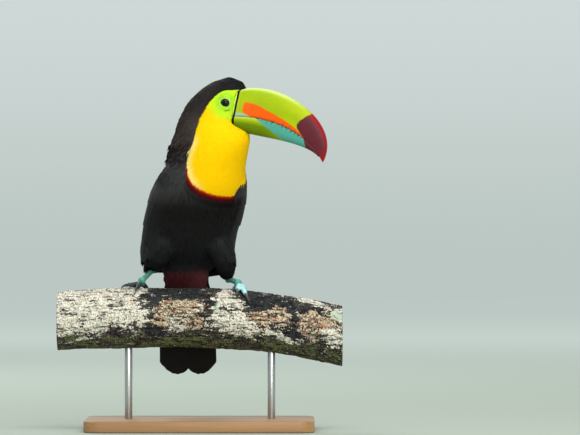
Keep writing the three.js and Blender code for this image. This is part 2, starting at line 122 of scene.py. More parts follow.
# %% Finishing a piece
def finish_piece(name, mesh, finishes, replaced=(), smooth=True):
    """Links a mesh made in millimetres as a finished piece of the model."""
    mesh.name = name
    mesh.transform(Matrix.Scale(MM, 4))
    for finish in finishes:
        mesh.materials.append(finish)
    mesh.polygons.foreach_set("use_smooth", [smooth] * len(mesh.polygons))
    piece = bpy.data.objects.new(name, mesh)
    bpy.context.scene.collection.objects.link(piece)
    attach(piece, "root")
    if replaced:
        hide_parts(*replaced)
    mesh.calc_loop_triangles()
    print(name, "has", len(mesh.loop_triangles), "triangles")
    return piece


def mesh_from(shape, name="shape"):
    """A mesh from a bmesh, which is freed."""
    mesh = bpy.data.meshes.new(name)
    shape.to_mesh(mesh)
    shape.free()
    return mesh


def rows_of(parts, measure, width, kind=float):
    """One measure of all the points, edges or triangles of a mesh, as an array with a row for each."""
    flat = np.empty(len(parts) * width, kind)
    parts.foreach_get(measure, flat)
    return flat.reshape(-1, width)


def points_of(mesh):
    return rows_of(mesh.vertices, "co", 3)


def edges_of(mesh):
    return rows_of(mesh.edges, "vertices", 2, np.int32)


def normals_of(mesh):
    """The outward direction at each point of the mesh."""
    return rows_of(mesh.vertex_normals, "vector", 3, np.float32).astype(float)


def triangles_of(mesh, measure="vertices"):
    """The three corners of each triangle of the mesh."""
    mesh.calc_loop_triangles()
    return rows_of(mesh.loop_triangles, measure, 3, np.int32)


def paint(mesh, name, values, kind="FLOAT_COLOR"):
    """Stores a number, a colour or a direction on each point of a mesh, for a material to read."""
    kind = "FLOAT" if values.ndim == 1 else kind
    if kind == "FLOAT_COLOR":
        values = np.column_stack([values, np.ones(len(values))])
    layer = mesh.attributes.new(name, kind, "POINT")
    field = {"FLOAT": "value", "FLOAT_COLOR": "color", "FLOAT_VECTOR": "vector"}[kind]
    layer.data.foreach_set(field, values.astype(np.float32).ravel())


# %% Working with directions and numbers
def unit(arrows):
    """Arrows made one long."""
    return arrows / np.maximum(np.linalg.norm(arrows, axis=-1, keepdims=True), 1e-9)


def ease(low, high, value):
    """0 below low, 1 above high, and smooth in between."""
    way = np.clip((value - low) / (high - low), 0, 1)
    return way * way * (3 - 2 * way)


def mixed(first, second, share):
    """A blend of two arrays of rows, or of two single rows, by a share for each row."""
    return first + (second - first) * share[..., None]


def colour(red, green, blue):
    """A colour given as it looks on a screen, 0 to 255, in the linear light that Blender works in."""
    seen = np.array([red, green, blue]) / 255
    return np.where(seen <= 0.04045, seen / 12.92, ((seen + 0.055) / 1.055) ** 2.4)


# %% Asking a surface questions
class Surface:
    """A closed mesh that gives its nearest point, its smooth outward direction and its area samples."""

    def __init__(self, points, corners):
        self.points = points
        self.corners = corners
        self.tree = BVHTree.FromPolygons(points.tolist(), corners.tolist())
        a, b, c = (points[corners[:, i]] for i in range(3))
        faces = np.cross(b - a, c - a)
        self.areas = np.linalg.norm(faces, axis=1) / 2
        summed = np.zeros_like(points)
        for i in range(3):
            np.add.at(summed, corners[:, i], faces)
        self.normals = unit(summed)

    def nearest(self, places):
        """The nearest spot to each place, its face, and the weights of the face's corners there."""
        found = [self.tree.find_nearest(place) for place in places.tolist()]
        spots = np.array([hit[0] for hit in found])
        faces = np.array([hit[2] for hit in found])
        return spots, faces, self.weights(spots, faces)

    def weights(self, spots, faces):
        """How much each corner of its face counts at each spot."""
        a, b, c = (self.points[self.corners[faces, i]] for i in range(3))
        whole = np.cross(b - a, c - a)
        size = np.maximum((whole * whole).sum(1), 1e-12)
        second = (np.cross(spots - a, c - a) * whole).sum(1) / size
        third = (np.cross(b - a, spots - a) * whole).sum(1) / size
        return np.clip(np.stack([1 - second - third, second, third], 1), 0, 1)

    def blend(self, values, faces, weights):
        """Values held at the points, read at spots on the faces."""
        return (values[self.corners[faces]] * weights[..., None]).sum(1)

    def sample(self, richness):
        """Spots scattered with so many to the square millimetre on each face, and the face of each and
        the weights of its corners."""
        shares = self.areas * richness
        count = int(shares.sum())
        faces = random.choice(len(shares), count, p=shares / shares.sum())
        first, second = random.random((2, count))
        over = first + second > 1
        first = np.where(over, 1 - first, first)
        second = np.where(over, 1 - second, second)
        weights = np.stack([1 - first - second, first, second], 1)
        return self.blend(self.points, faces, weights), faces, weights


def merged_copy(names, grow=0.0):
    """One mesh from copies of several nodes, in millimetres, each swollen by a little."""
    whole = bmesh.new()
    for name in names:
        part = bmesh.new()
        part.from_mesh(nodes[name].data)
        bmesh.ops.scale(part, vec=(1 / MM,) * 3, verts=part.verts)
        bmesh.ops.remove_doubles(part, verts=part.verts, dist=0.001)
        part.normal_update()
        for vert in part.verts:
            vert.co += vert.normal * grow
        whole.from_mesh(mesh_from(part))
    return mesh_from(whole)


def surface_of(*names):
    """The surface of one or more of the model's own nodes."""
    mesh = merged_copy(names)
    return Surface(points_of(mesh), triangles_of(mesh))


def middle_of(name):
    """The middle of a node's box, in millimetres."""
    low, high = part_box(name)
    return np.array((low + high) / 2) / MM


print("tools ready")

# %% [markdown]
# ## The bird's own directions
# The head is turned about 75 degrees from the breast, so fore and aft are not the model's axes. The two
# eyes give the line across the head, the far end of the bill gives its length, and both come from the
# frame. Places on the bill are then given as so far along it and so far above its middle line.

# %% The head and the bill
eye_centre = {"left": middle_of("eye_left"), "right": middle_of("eye_right")}
eye_radius = float((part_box("eye_right")[1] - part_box("eye_right")[0])[2]) / 2 / MM
up = np.array([0.0, 0.0, 1.0])
head_right = unit(eye_centre["right"] - eye_centre["left"])
head_ahead = np.cross(up, head_right)
bill_pitch = math.radians(17)
bill_ahead = head_ahead * math.cos(bill_pitch) - up * math.sin(bill_pitch)
bill_up = head_ahead * math.sin(bill_pitch) + up * math.cos(bill_pitch)
bill_tip = (105.7, -24.2)
horn_surface = surface_of("bill_upper", "bill_lower")
farthest = horn_surface.points[np.argmax(horn_surface.points @ (bill_ahead - 0.6 * bill_up))]
head_middle = (eye_centre["left"] + eye_centre["right"]) / 2
tip_place = farthest - head_right * ((farthest - head_middle) @ head_right)
bill_base = tip_place - bill_ahead * bill_tip[0] - bill_up * bill_tip[1]


def head_place(along, above, right):
    """A point of the head: along the bill, above its middle line, and toward the bird's right."""
    along, above, right = (np.asarray(value, float)[..., None] for value in (along, above, right))
    return bill_base + bill_ahead * along + bill_up * above + head_right * right


def head_measure(places):
    """How far along the bill, above its middle line and to the right each place is."""
    rest = places - bill_base
    return rest @ bill_ahead, rest @ bill_up, rest @ head_right


print("bill base", bill_base.round(1), "eye radius", round(eye_radius, 2))

# %% The middle line of the body
# Heights, with the middle of the body at each, from the tail root up to the crown.
line_height = (148, 178, 200, 225, 250, 270, 285, 300, 326, 343, 356, 371)
line_x = (-15, -14, -11.5, -6.5, -1, 4, 7.5, 10, 12, 15, 21, 31)
line_y = (42, 23, 10, -1, -10, -17, -22, -25, -28, -28, -29, -31.5)


def middle_line(height):
    """The middle of the body at each height."""
    across, ahead = (np.interp(height, line_height, line) for line in (line_x, line_y))
    return np.stack([across, ahead, height], -1)


def bearing(places):
    """The direction of each place from the middle line, in degrees from the breast toward the bird's left,
    and its distance."""
    out = places - middle_line(places[:, 2])
    return np.degrees(np.arctan2(out[:, 0], -out[:, 1])), np.hypot(out[:, 0], out[:, 1])


def below_eye(places):
    """How far each place lies below the level of the eyes."""
    return head_middle[2] - places[:, 2]


# %% [markdown]
# ## One skin under all the feathers
# A bird's skin runs unbroken from the bill to the toes. The flesh nodes are copied, swollen by a hair so
# that the thin cuts between them close, and remeshed as one body. The feathers give a bird its outline,
# so the skin has to lie below the model's surface by the depth of the plumage: about three millimetres on
# the belly, one and a half on the neck and under half a millimetre beside the eye and the bill.

# %% How deep the plumage is
flesh = ("trunk", "neck", "head", "eye_left", "eye_right", "wing_left", "wing_right", "tail_coverts",
         "thigh_left", "thigh_right")
flesh_parts = [merged_copy((name,)) for name in flesh]
flesh_points = np.concatenate([points_of(part) for part in flesh_parts])
flesh_offsets = np.cumsum([0] + [len(part.vertices) for part in flesh_parts[:-1]])
flesh_corners = [triangles_of(part) + start for part, start in zip(flesh_parts, flesh_offsets)]
flesh_owner = np.repeat(np.arange(len(flesh)), [len(corners) for corners in flesh_corners])
flesh_surface = Surface(flesh_points, np.concatenate(flesh_corners))
plumage_depth = 3.0
neck_depth = 1.4
wing_depth = 2.3
thigh_depth = 2.2
face_depth = 0.4
neck_floor = 262
belly_top = 236
face_edge = (2, 34)


def owners(places):
    """The number, in the list of flesh nodes, of the node that each place lies nearest to."""
    return flesh_owner[flesh_surface.nearest(places)[1]]


def is_part(owner, *names):
    """Which of these owners are one of the named nodes."""
    return np.isin(owner, [flesh.index(name) for name in names])


def from_face(places):
    """The distance of each place from the nearest bare part of the face: the bill or an eye."""
    eyes = [np.linalg.norm(places - centre, axis=1) - eye_radius for centre in eye_centre.values()]
    horn = np.linalg.norm(horn_surface.nearest(places)[0] - places, axis=1)
    return np.minimum(np.minimum(*eyes), horn)


def plumage_at(places, owner):
    """The depth of the feathers over each place."""
    deep = neck_depth + (plumage_depth - neck_depth) * ease(neck_floor, belly_top, places[:, 2])
    depth = face_depth + (deep - face_depth) * ease(*face_edge, from_face(places))
    depth = np.where(is_part(owner, "wing_left", "wing_right"), wing_depth, depth)
    return np.where(is_part(owner, "thigh_left", "thigh_right", "tail_coverts"), thigh_depth, depth)


# %% The skin of the body
def blurred(values, edges, times):
    """Values at the points of a mesh, averaged over their neighbours several times."""
    count = len(values)
    reach = np.bincount(edges.ravel(), minlength=count)
    for _ in range(times):
        total = np.zeros_like(values)
        np.add.at(total, edges[:, 0], values[edges[:, 1]])
        np.add.at(total, edges[:, 1], values[edges[:, 0]])
        values = 0.5 * values + 0.5 * (total.T / reach).T
    return values


def remeshed(mesh, voxel):
    """The mesh made again as one closed skin of small squares."""
    rough = bpy.data.objects.new("rough", mesh)
    bpy.context.scene.collection.objects.link(rough)
    remesh = rough.modifiers.new("remesh", "REMESH")
    remesh.mode = "VOXEL"
    remesh.voxel_size = voxel
    remesh.use_smooth_shade = True
    graph = bpy.context.evaluated_depsgraph_get()
    made = bpy.data.meshes.new_from_object(rough.evaluated_get(graph))
    bpy.data.objects.remove(rough)
    return made


def largest_shell(shape):
    """Deletes from a bmesh all but its largest connected shell."""
    left = set(shape.verts)
    shells = []
    while left:
        start = left.pop()
        shell = [start]
        edge = [start]
        while edge:
            fresh = [v for at in edge for v in (e.other_vert(at) for e in at.link_edges) if v in left]
            edge = list(dict.fromkeys(fresh))
            left.difference_update(edge)
            shell.extend(edge)
        shells.append(shell)
    shells.sort(key=len)
    bmesh.ops.delete(shape, geom=[v for shell in shells[:-1] for v in shell], context="VERTS")
    return len(shells)


def smoothed(shape, times):
    """Evens out the points of a bmesh several times."""
    for _ in range(times):
        bmesh.ops.smooth_vert(shape, verts=shape.verts, factor=0.5, use_axis_x=True, use_axis_y=True,
                              use_axis_z=True)


skin_voxel = 1.6
closing = 0.25
most_room = 40.0
room_share = 0.3
body_mesh = remeshed(merged_copy(flesh, closing), skin_voxel)
body_shape = bmesh.new()
body_shape.from_mesh(body_mesh)
shells = largest_shell(body_shape)
smoothed(body_shape, 5)
body_mesh = mesh_from(body_shape)
skin_edges = edges_of(body_mesh)
outer_points = points_of(body_mesh)
outward = unit(blurred(normals_of(body_mesh), skin_edges, 3))
outer_tree = Surface(outer_points, triangles_of(body_mesh)).tree
room = np.full(len(outer_points), most_room)
for i, (place, arrow) in enumerate(zip(outer_points, outward)):
    hit = outer_tree.ray_cast(place - 0.3 * arrow, -arrow, most_room)
    if hit[0] is not None:
        room[i] = hit[3]
body_owner = owners(outer_points)
sink = np.minimum(plumage_at(outer_points, body_owner), room_share * room) + closing
sink = blurred(sink, skin_edges, 8)
skin_points = outer_points - outward * sink[:, None]
body_mesh.vertices.foreach_set("co", skin_points.ravel())
body_mesh.update()
skin = Surface(skin_points, triangles_of(body_mesh))
print("skin of", len(skin.corners), "triangles from", shells, "shells")

# %% [markdown]
# ## Unwrapping the skin
# Every feather later keeps a small patch of colour at the place of its root on a flat map of the skin, so
# the skin is unwrapped by its own shape: cut where it bends most, and each cut piece laid flat.

# %% The flat map of the skin
def unwrapped(mesh, name):
    """Lays the mesh out flat in a new map, cut where it bends."""
    mesh.uv_layers.new(name=name)
    holder = bpy.data.objects.new("holder", mesh)
    bpy.context.scene.collection.objects.link(holder)
    bpy.context.view_layer.objects.active = holder
    bpy.ops.object.mode_set(mode="EDIT")
    bpy.ops.mesh.select_all(action="SELECT")
    bpy.ops.uv.smart_project(angle_limit=math.radians(66), island_margin=0.004)
    bpy.ops.object.mode_set(mode="OBJECT")
    bpy.data.objects.remove(holder)
    return rows_of(mesh.uv_layers[name].data, "uv", 2, np.float32)


skin_map = unwrapped(body_mesh, "OFBake")
loop_corners = triangles_of(body_mesh, "loops")


def place_on_map(faces, weights):
    """The place on the skin's flat map of spots on its faces."""
    return (skin_map[loop_corners[faces]] * weights[..., None]).sum(1)


print("unwrapped", len(skin_map), "corners")

# %% [markdown]
# ## The markings
# Skin and feathers are coloured by one function of the place on the body, so a feather that lifts shows
# the same colour beneath it. The yellow bib is given by how far round the neck it reaches at each level
# below the eye, and the red band by its distance outside the bib. The keel-billed toucan also wears a
# maroon tinge on its nape, lightened there by a painted sheen, red under the tail and white above it.

# %% The colours of the plumage
black = colour(17, 16, 16)
# A maroon tinge for the nape, lightened by a painted sheen.
nape_maroon_and_sheen = colour(70, 60, 56)
belly_black = colour(29, 30, 31)
# A grey painted sheen on the black at the height of the shoulders.
shoulder_painted_sheen = colour(60, 62, 62)
bib_yellow = colour(255, 200, 0)
bib_pale = colour(248, 224, 120)
cheek_yellow = colour(242, 205, 4)
lore_green = colour(196, 232, 36)
ring_green = colour(160, 220, 44)
# Painted shade for the fold of skin under the eye.
fold_painted_shade = colour(84, 78, 30)
band_flame = colour(178, 28, 7)
band_red = colour(86, 13, 16)
vent_red = colour(84, 36, 40)
vent_bright = colour(112, 58, 62)
vent_pink = colour(196, 132, 132)
rump_white = colour(226, 222, 208)

# How far below the eye each level is, where the middle of the bib faces there, and how far the yellow
# reaches to each side of it, in degrees.
bib_level = (-16, -14, -12.5, -10.5, -6.5, 0, 7.5, 16.8, 30, 42, 53, 64, 70)
bib_facing = (75, 75, 75, 75, 75, 75, 74, 72, 63, 52, 45, 38, 35)
bib_reach = (-25, 0, 58, 69, 78, 86, 92, 98, 90, 79, 74, 65, 57)
low_level = (80, 98)
low_facing = (38.5, 41)
bib_turn = 70
bib_bottom = 26.5
bib_round = 57

# The red band below it: its width at each level.
band_level = (62, 68, 76, 83, 90)
band_width = (0, 1.4, 2.6, 4.4, 6.2)


# The level of the eyes on the bill's own scale, from which the face is measured.
eye_along, eye_above, _ = head_measure(head_middle)


def inside_bib(places):
    """How far inside the yellow bib each place is, in millimetres. Outside it this is negative."""
    level = below_eye(places)
    facing, distance = bearing(places)
    middle = np.interp(level, bib_level + low_level, bib_facing + low_facing)
    aside = np.abs((facing - middle + 180) % 360 - 180)
    degree = np.pi / 180 * np.maximum(distance, 12)
    beside = (np.interp(level, bib_level, bib_reach) - aside) * degree
    drop = np.maximum(level - bib_turn, 0) / bib_bottom
    far = np.maximum(np.hypot(aside / bib_round, drop), 1e-3)
    slope = np.hypot(aside / (bib_round ** 2 * degree), drop / bib_bottom) / far
    below = (1 - far) / np.maximum(slope, 1e-4)
    return np.where(level > bib_turn, below, beside)


def rough(places, size, seed):
    """Soft noise from -1 to 1 at each place, with lumps of a size."""
    shift = Vector((seed * 17.3, seed * 5.1, seed * 9.7))
    return np.array([noise.noise(Vector(place) / size + shift) for place in places.tolist()])


def marking(places, owner):
    """The colour of the plumage at each place."""
    level = below_eye(places)
    inside = inside_bib(places) + 0.7 * rough(places, 2.2, 1)
    along, above, _ = head_measure(places)
    facing, _ = bearing(places)
    near_nape = ease(120, 30, level) * ease(60, 110, np.abs((facing - 75 + 180) % 360 - 180))
    coat = mixed(black, belly_black, ease(105, 150, level))
    # The nape: its maroon tinge, with a painted sheen that lightens it.
    coat = mixed(coat, nape_maroon_and_sheen, near_nape * (1 - 0.65 * ease(25, -5, level)))
    # Painted sheen: the black is greyed at the height of the shoulders, on body and wings.
    coat = mixed(coat, shoulder_painted_sheen, 0.75 * ease(112, 86, level) * ease(48, 62, level))
    off_middle = np.abs(places[:, 0] - middle_line(places[:, 2])[:, 0]) + 2 * rough(places, 3.0, 2)
    rump = is_part(owner, "trunk") * ease(26, 31, places[:, 1]) * ease(21, 17, off_middle)
    vent = is_part(owner, "tail_coverts") | (is_part(owner, "trunk") & (places[:, 1] < 45))
    vent_edge = places[:, 2] + 2.5 * rough(places, 3.5, 3)
    flecks = ease(0.35, 0.5, rough(places, 1.6, 4)) * ease(-31, -35, places[:, 0])
    red = mixed(vent_red, vent_bright, ease(-18, 6, places[:, 0]))
    red = mixed(red, vent_pink, flecks)
    coat = mixed(coat, red, vent * ease(171, 162, vent_edge) * ease(40, 34, places[:, 1] - 20))
    coat = mixed(coat, rump_white, rump * ease(189, 183, places[:, 2] + off_middle / 3))
    below = np.interp(level, band_level, band_width) + inside
    band = mixed(band_red, band_flame, ease(-3.4, -0.5, inside))
    off_wing = 1.0 - is_part(owner, "wing_left", "wing_right")
    coat = mixed(coat, band, off_wing * ease(-0.8, 0.8, below) * ease(62, 68, level))
    eyes = np.minimum(*[np.linalg.norm(places - centre, axis=1) for centre in eye_centre.values()])
    pale = ease(9, 0.5, inside) * ease(12, -14, facing) * ease(30, 45, level)
    yellow = mixed(bib_yellow, bib_pale, pale)
    yellow = mixed(yellow, cheek_yellow, ease(44, 22, level))
    greenish = ease(24, 11, eyes) + ease(-14, -4, along) * ease(-12, -2, above)
    yellow = mixed(yellow, lore_green, np.clip(greenish, 0, 1))
    yellow = mixed(yellow, ring_green, ease(12.5, 8.5, eyes))
    # A thin line of painted shade along the fold under the eye.
    ahead = along - eye_along
    from_fold = np.abs(above - eye_above + 9.9 - 0.57 * ahead)
    fold = ease(0.8, 0.3, from_fold) * ease(2.4, 3.2, ahead) * ease(7.4, 6.6, ahead)
    yellow = mixed(yellow, fold_painted_shade, fold)
    return mixed(coat, yellow, off_wing * ease(-0.5, 0.5, inside))


skin_owner = owners(skin.points)
skin_colour = marking(skin.points, skin_owner)
paint(body_mesh, "tint", skin_colour * 0.95)
print("marked", len(skin_colour), "points of the skin")

# %% [markdown]
# ## Building materials from nodes
# Every finish here is grown from nodes: noise, waves and the values painted on the mesh. A small helper
# adds a node and joins it up in one line, so that each finish reads as a recipe.

# %% A helper for node trees
class Recipe:
    """Adds nodes to one tree. A number or a colour is set on a socket, and an output is linked to it."""

    def __init__(self, tree):
        self.tree = tree

    def add(self, kind, sockets=None, **settings):
        made = self.tree.nodes.new("ShaderNode" + kind)
        for name, value in settings.items():
            setattr(made, name, value)
        for name, value in (sockets or {}).items():
            self.join(value, made.inputs[name])
        return made

    def join(self, value, socket):
        if isinstance(value, bpy.types.NodeSocket):
            self.tree.links.new(value, socket)
        elif hasattr(value, "__len__") and len(value) == 3 and socket.type == "RGBA":
            socket.default_value = (*value, 1)
        else:
            socket.default_value = value

    def math(self, operation, first, second=0.0, third=0.0):
        made = self.add("Math", {0: first, 1: second, 2: third}, operation=operation)
        return made.outputs[0]

    def between(self, value, low, high, start=0.0, end=1.0):
        """Start below low, end above high, and smooth in between."""
        sockets = {"Value": value, "From Min": low, "From Max": high, "To Min": start, "To Max": end}
        return self.add("MapRange", sockets, interpolation_type="SMOOTHSTEP").outputs[0]

    def mix(self, share, first, second, blend="MIX"):
        made = self.add("Mix", data_type="RGBA", blend_type=blend)
        self.join(share, made.inputs[0])
        self.join(first, made.inputs[6])
        self.join(second, made.inputs[7])
        return made.outputs[2]

    def ramp(self, value, low, high, first, second):
        """Runs from one colour to another as a value rises."""
        return self.mix(self.between(value, low, high), colour(*first), colour(*second))

    def laid(self, tint, *coats):
        """A colour with others laid over it in turn, each given by its share and itself."""
        for share, coat in coats:
            tint = self.mix(share, tint, coat)
        return tint

    def shaded(self, tint, shade):
        """A colour made darker or lighter by a shade."""
        grey = self.add("CombineColor", {0: shade, 1: shade, 2: shade}).outputs[0]
        return self.mix(1.0, tint, grey, "MULTIPLY")

    def noise(self, vector, scale, detail=3.0, roughness=0.55):
        sockets = {"Vector": vector, "Scale": scale, "Detail": detail, "Roughness": roughness}
        return self.add("TexNoise", sockets).outputs[0]

    def stretched(self, vector, scale):
        return self.add("Mapping", {"Vector": vector, "Scale": scale}).outputs[0]

    def here(self):
        return self.add("TexCoord").outputs["Object"]

    def painted(self, name, output="Fac"):
        """A value that is painted on the mesh."""
        return self.add("Attribute", attribute_name=name).outputs[output]

    def bump(self, height, strength, distance, before=None):
        sockets = {"Height": height, "Strength": strength, "Distance": distance}
        if before is not None:
            sockets["Normal"] = before
        return self.add("Bump", sockets).outputs[0]

    def dress(self, shader, tint, roughness, normal=None):
        """Links the colour, the roughness and the normal of a finish to its shader."""
        for name, value in (("Base Color", tint), ("Roughness", roughness), ("Normal", normal)):
            if value is not None:
                self.join(value, shader.inputs[name])

    def placed(self, group, sockets=None):
        """Puts a shared effect into this tree with its own values."""
        made = self.tree.nodes.new("ShaderNodeGroup")
        made.node_tree = group
        for name, value in (sockets or {}).items():
            self.join(value, made.inputs[name])
        return made.outputs


def new_finish(name, **fixed):
    """A material with its own recipe and shader. Values that are the same all over are set here."""
    finish = bpy.data.materials.new(name)
    finish.use_nodes = True
    shader = finish.node_tree.nodes["Principled BSDF"]
    for socket, value in fixed.items():
        shader.inputs[socket.replace("_", " ")].default_value = value
    return finish, Recipe(finish.node_tree), shader


def new_effect(name, takes, gives):
    """A shared node group. It takes numbers with these defaults, and gives numbers or colours."""
    group = bpy.data.node_groups.new(name, "ShaderNodeTree")
    for label, default in takes.items():
        socket = group.interface.new_socket(label, in_out="INPUT", socket_type="NodeSocketFloat")
        socket.default_value = default
    for label, kind in gives.items():
        group.interface.new_socket(label, in_out="OUTPUT", socket_type="NodeSocket" + kind)
    recipe = Recipe(group)
    entry = group.nodes.new("NodeGroupInput")
    leave = group.nodes.new("NodeGroupOutput")
    return group, recipe, entry.outputs, leave.inputs


# %% [markdown]
# ## Effects that several finishes share
# A feather's vane is ruled with fine barbs that slant out from its shaft. Cloudy unevenness keeps any
# surface from looking painted. Long fine streaks run through horn, claw, wood and brushed steel. Each is
# built once, as a group, and placed with its own values wherever it is needed.

# %% The shared effects
barbs, recipe, take, give = new_effect(
    "barbs", {"Pitch": 0.06, "Slant": 1.1, "Shaft": 0.02}, {"Shade": "Float", "Height": "Float"})
vane_map = recipe.add("SeparateXYZ", {0: recipe.add("UVMap", uv_map="Vane").outputs[0]})
aside = recipe.math("ABSOLUTE", vane_map.outputs[0])
slanted = recipe.math("SUBTRACT", vane_map.outputs[1], recipe.math("MULTIPLY", aside, take["Slant"]))
wobble = recipe.math("MULTIPLY", recipe.noise(recipe.here(), 180.0), 0.05)
turns = recipe.math("DIVIDE", recipe.math("ADD", slanted, wobble), take["Pitch"])
barb = recipe.math("SINE", recipe.math("MULTIPLY", turns, 2 * math.pi))
shaft = recipe.between(recipe.math("DIVIDE", aside, take["Shaft"]), 0.6, 1.6, 1.0, 0.0)
recipe.join(recipe.math("ADD", recipe.math("MULTIPLY", barb, 0.5), shaft), give["Height"])
recipe.join(recipe.math("ADD", recipe.math("MULTIPLY", barb, 0.11), 0.9), give["Shade"])

clouds, recipe, take, give = new_effect("clouds", {"Scale": 60.0, "Depth": 0.2}, {"Shade": "Float"})
cloud = recipe.math("SUBTRACT", recipe.noise(recipe.here(), take["Scale"], 4.0), 0.5)
recipe.join(recipe.math("ADD", recipe.math("MULTIPLY", cloud, take["Depth"]), 1.0), give["Shade"])

streaks, recipe, take, give = new_effect(
    "streaks", {"Along": 20.0, "Across": 400.0, "Depth": 0.2}, {"Shade": "Float", "Height": "Float"})
lines = recipe.add("CombineXYZ", {"X": take["Along"], "Y": take["Across"], "Z": take["Across"]})
spun = recipe.add("VectorMath", {0: recipe.here(), 1: lines.outputs[0]}, operation="MULTIPLY")
streak = recipe.noise(spun.outputs[0], 1.0, 5.0, 0.6)
recipe.join(streak, give["Height"])
shade = recipe.math("MULTIPLY", recipe.math("SUBTRACT", streak, 0.5), take["Depth"])
recipe.join(recipe.math("ADD", shade, 1.0), give["Shade"])
print("effects:", [group.name for group in bpy.data.node_groups])

# %% [markdown]
# ## Plumage and skin
# The black plumage is glossy enough to take a thin blue-grey light, the yellow bib is as soft as velvet,
# and the long quills are the smoothest. They differ in gloss, sheen and how deep their barbs are, so one
# function makes them all. Colour comes from the markings that are painted on each feather.

# %% Plumage finishes
def plumage(name, roughness, barb_depth, cloud_depth, soft=True, lift=1.0, **fixed):
    """A finish for feathers, which reads their painted colour and their barbs. A soft one is shaded by how
    the coat lies instead of by the faces of each tuft."""
    finish, recipe, shader = new_finish(name, **fixed)
    barb = recipe.placed(barbs)
    cloud = recipe.placed(clouds, {"Scale": 90.0, "Depth": cloud_depth})
    shade = recipe.math("MULTIPLY", barb["Shade"], cloud["Shade"])
    shade = recipe.math("MULTIPLY", shade, lift)
    dull = recipe.noise(recipe.here(), 240.0)
    facing = recipe.painted("facing", "Vector") if soft else None
    recipe.dress(shader, recipe.shaded(recipe.painted("tint", "Color"), shade),
                 recipe.between(dull, 0.3, 0.7, roughness - 0.06, roughness + 0.08),
                 recipe.bump(barb["Height"], barb_depth, 0.00012, facing))
    return finish


black_plumage = plumage("black_plumage", 0.6, 0.4, 0.3, Specular_IOR_Level=0.16)
quill_plumage = plumage("quill_plumage", 0.55, 0.4, 0.25, soft=False, Specular_IOR_Level=0.12)
yellow_plumage = plumage("yellow_plumage", 0.85, 0.15, 0.06, lift=1.05, Specular_IOR_Level=0.06)
red_plumage = plumage("red_plumage", 0.75, 0.35, 0.3, Specular_IOR_Level=0.14)

skin_finish, recipe, shader = new_finish("bird_skin", Specular_IOR_Level=0.2)
pimples = recipe.add("TexVoronoi", {"Vector": recipe.here(), "Scale": 620.0}).outputs["Distance"]
cloud = recipe.placed(clouds, {"Scale": 120.0, "Depth": 0.3})["Shade"]
tint = recipe.painted("tint", "Color")
recipe.dress(shader, recipe.shaded(tint, cloud), recipe.between(pimples, 0.0, 0.6, 0.7, 0.85),
             recipe.bump(pimples, 0.4, 0.0003))
print("plumage and skin finishes made")

# %% [markdown]
# ## One feather, many thousand times
# A body feather is a thin curved blade: narrow at its root, widest past its middle, round and a little
# frayed at its tip. Each is a closed lens of a few dozen faces, laid over a path, with its own barb map
# and its own patch on the skin's flat map. A whole region of the coat is written as one joined mesh,
# because modelling operators would take minutes over so many.

# %% Blades over paths
def lens_faces(rows, cols):
    """The faces of one closed blade: a grid on top and one below that share their rim. Gives the faces,
    how many points there are, the grid places of the lower inner points, and the rim's edges."""
    stride = cols + 1
    top = np.arange((rows + 1) * stride).reshape(rows + 1, stride)
    low = top.copy()
    inner = (rows - 1) * (cols - 1)
    low[1:-1, 1:-1] = top.size + np.arange(inner).reshape(rows - 1, cols - 1)
    upper = np.stack([top[:-1, :-1], top[:-1, 1:], top[1:, 1:], top[1:, :-1]], -1).reshape(-1, 4)
    lower = np.stack([low[:-1, :-1], low[1:, :-1], low[1:, 1:], low[:-1, 1:]], -1).reshape(-1, 4)
    loop = np.concatenate([top[0], top[1:, -1], top[-1, -2::-1], top[-2:0:-1, 0]])
    rim = np.sort(np.stack([loop, np.roll(loop, -1)], 1), 1)
    return np.concatenate([upper, lower]), top.size + inner, rim


def rows_of_points(rows, cols):
    """The row that each point of a blade belongs to."""
    upper = np.repeat(np.arange(rows + 1), cols + 1)
    lower = np.repeat(np.arange(1, rows), cols - 1)
    return np.concatenate([upper, lower])


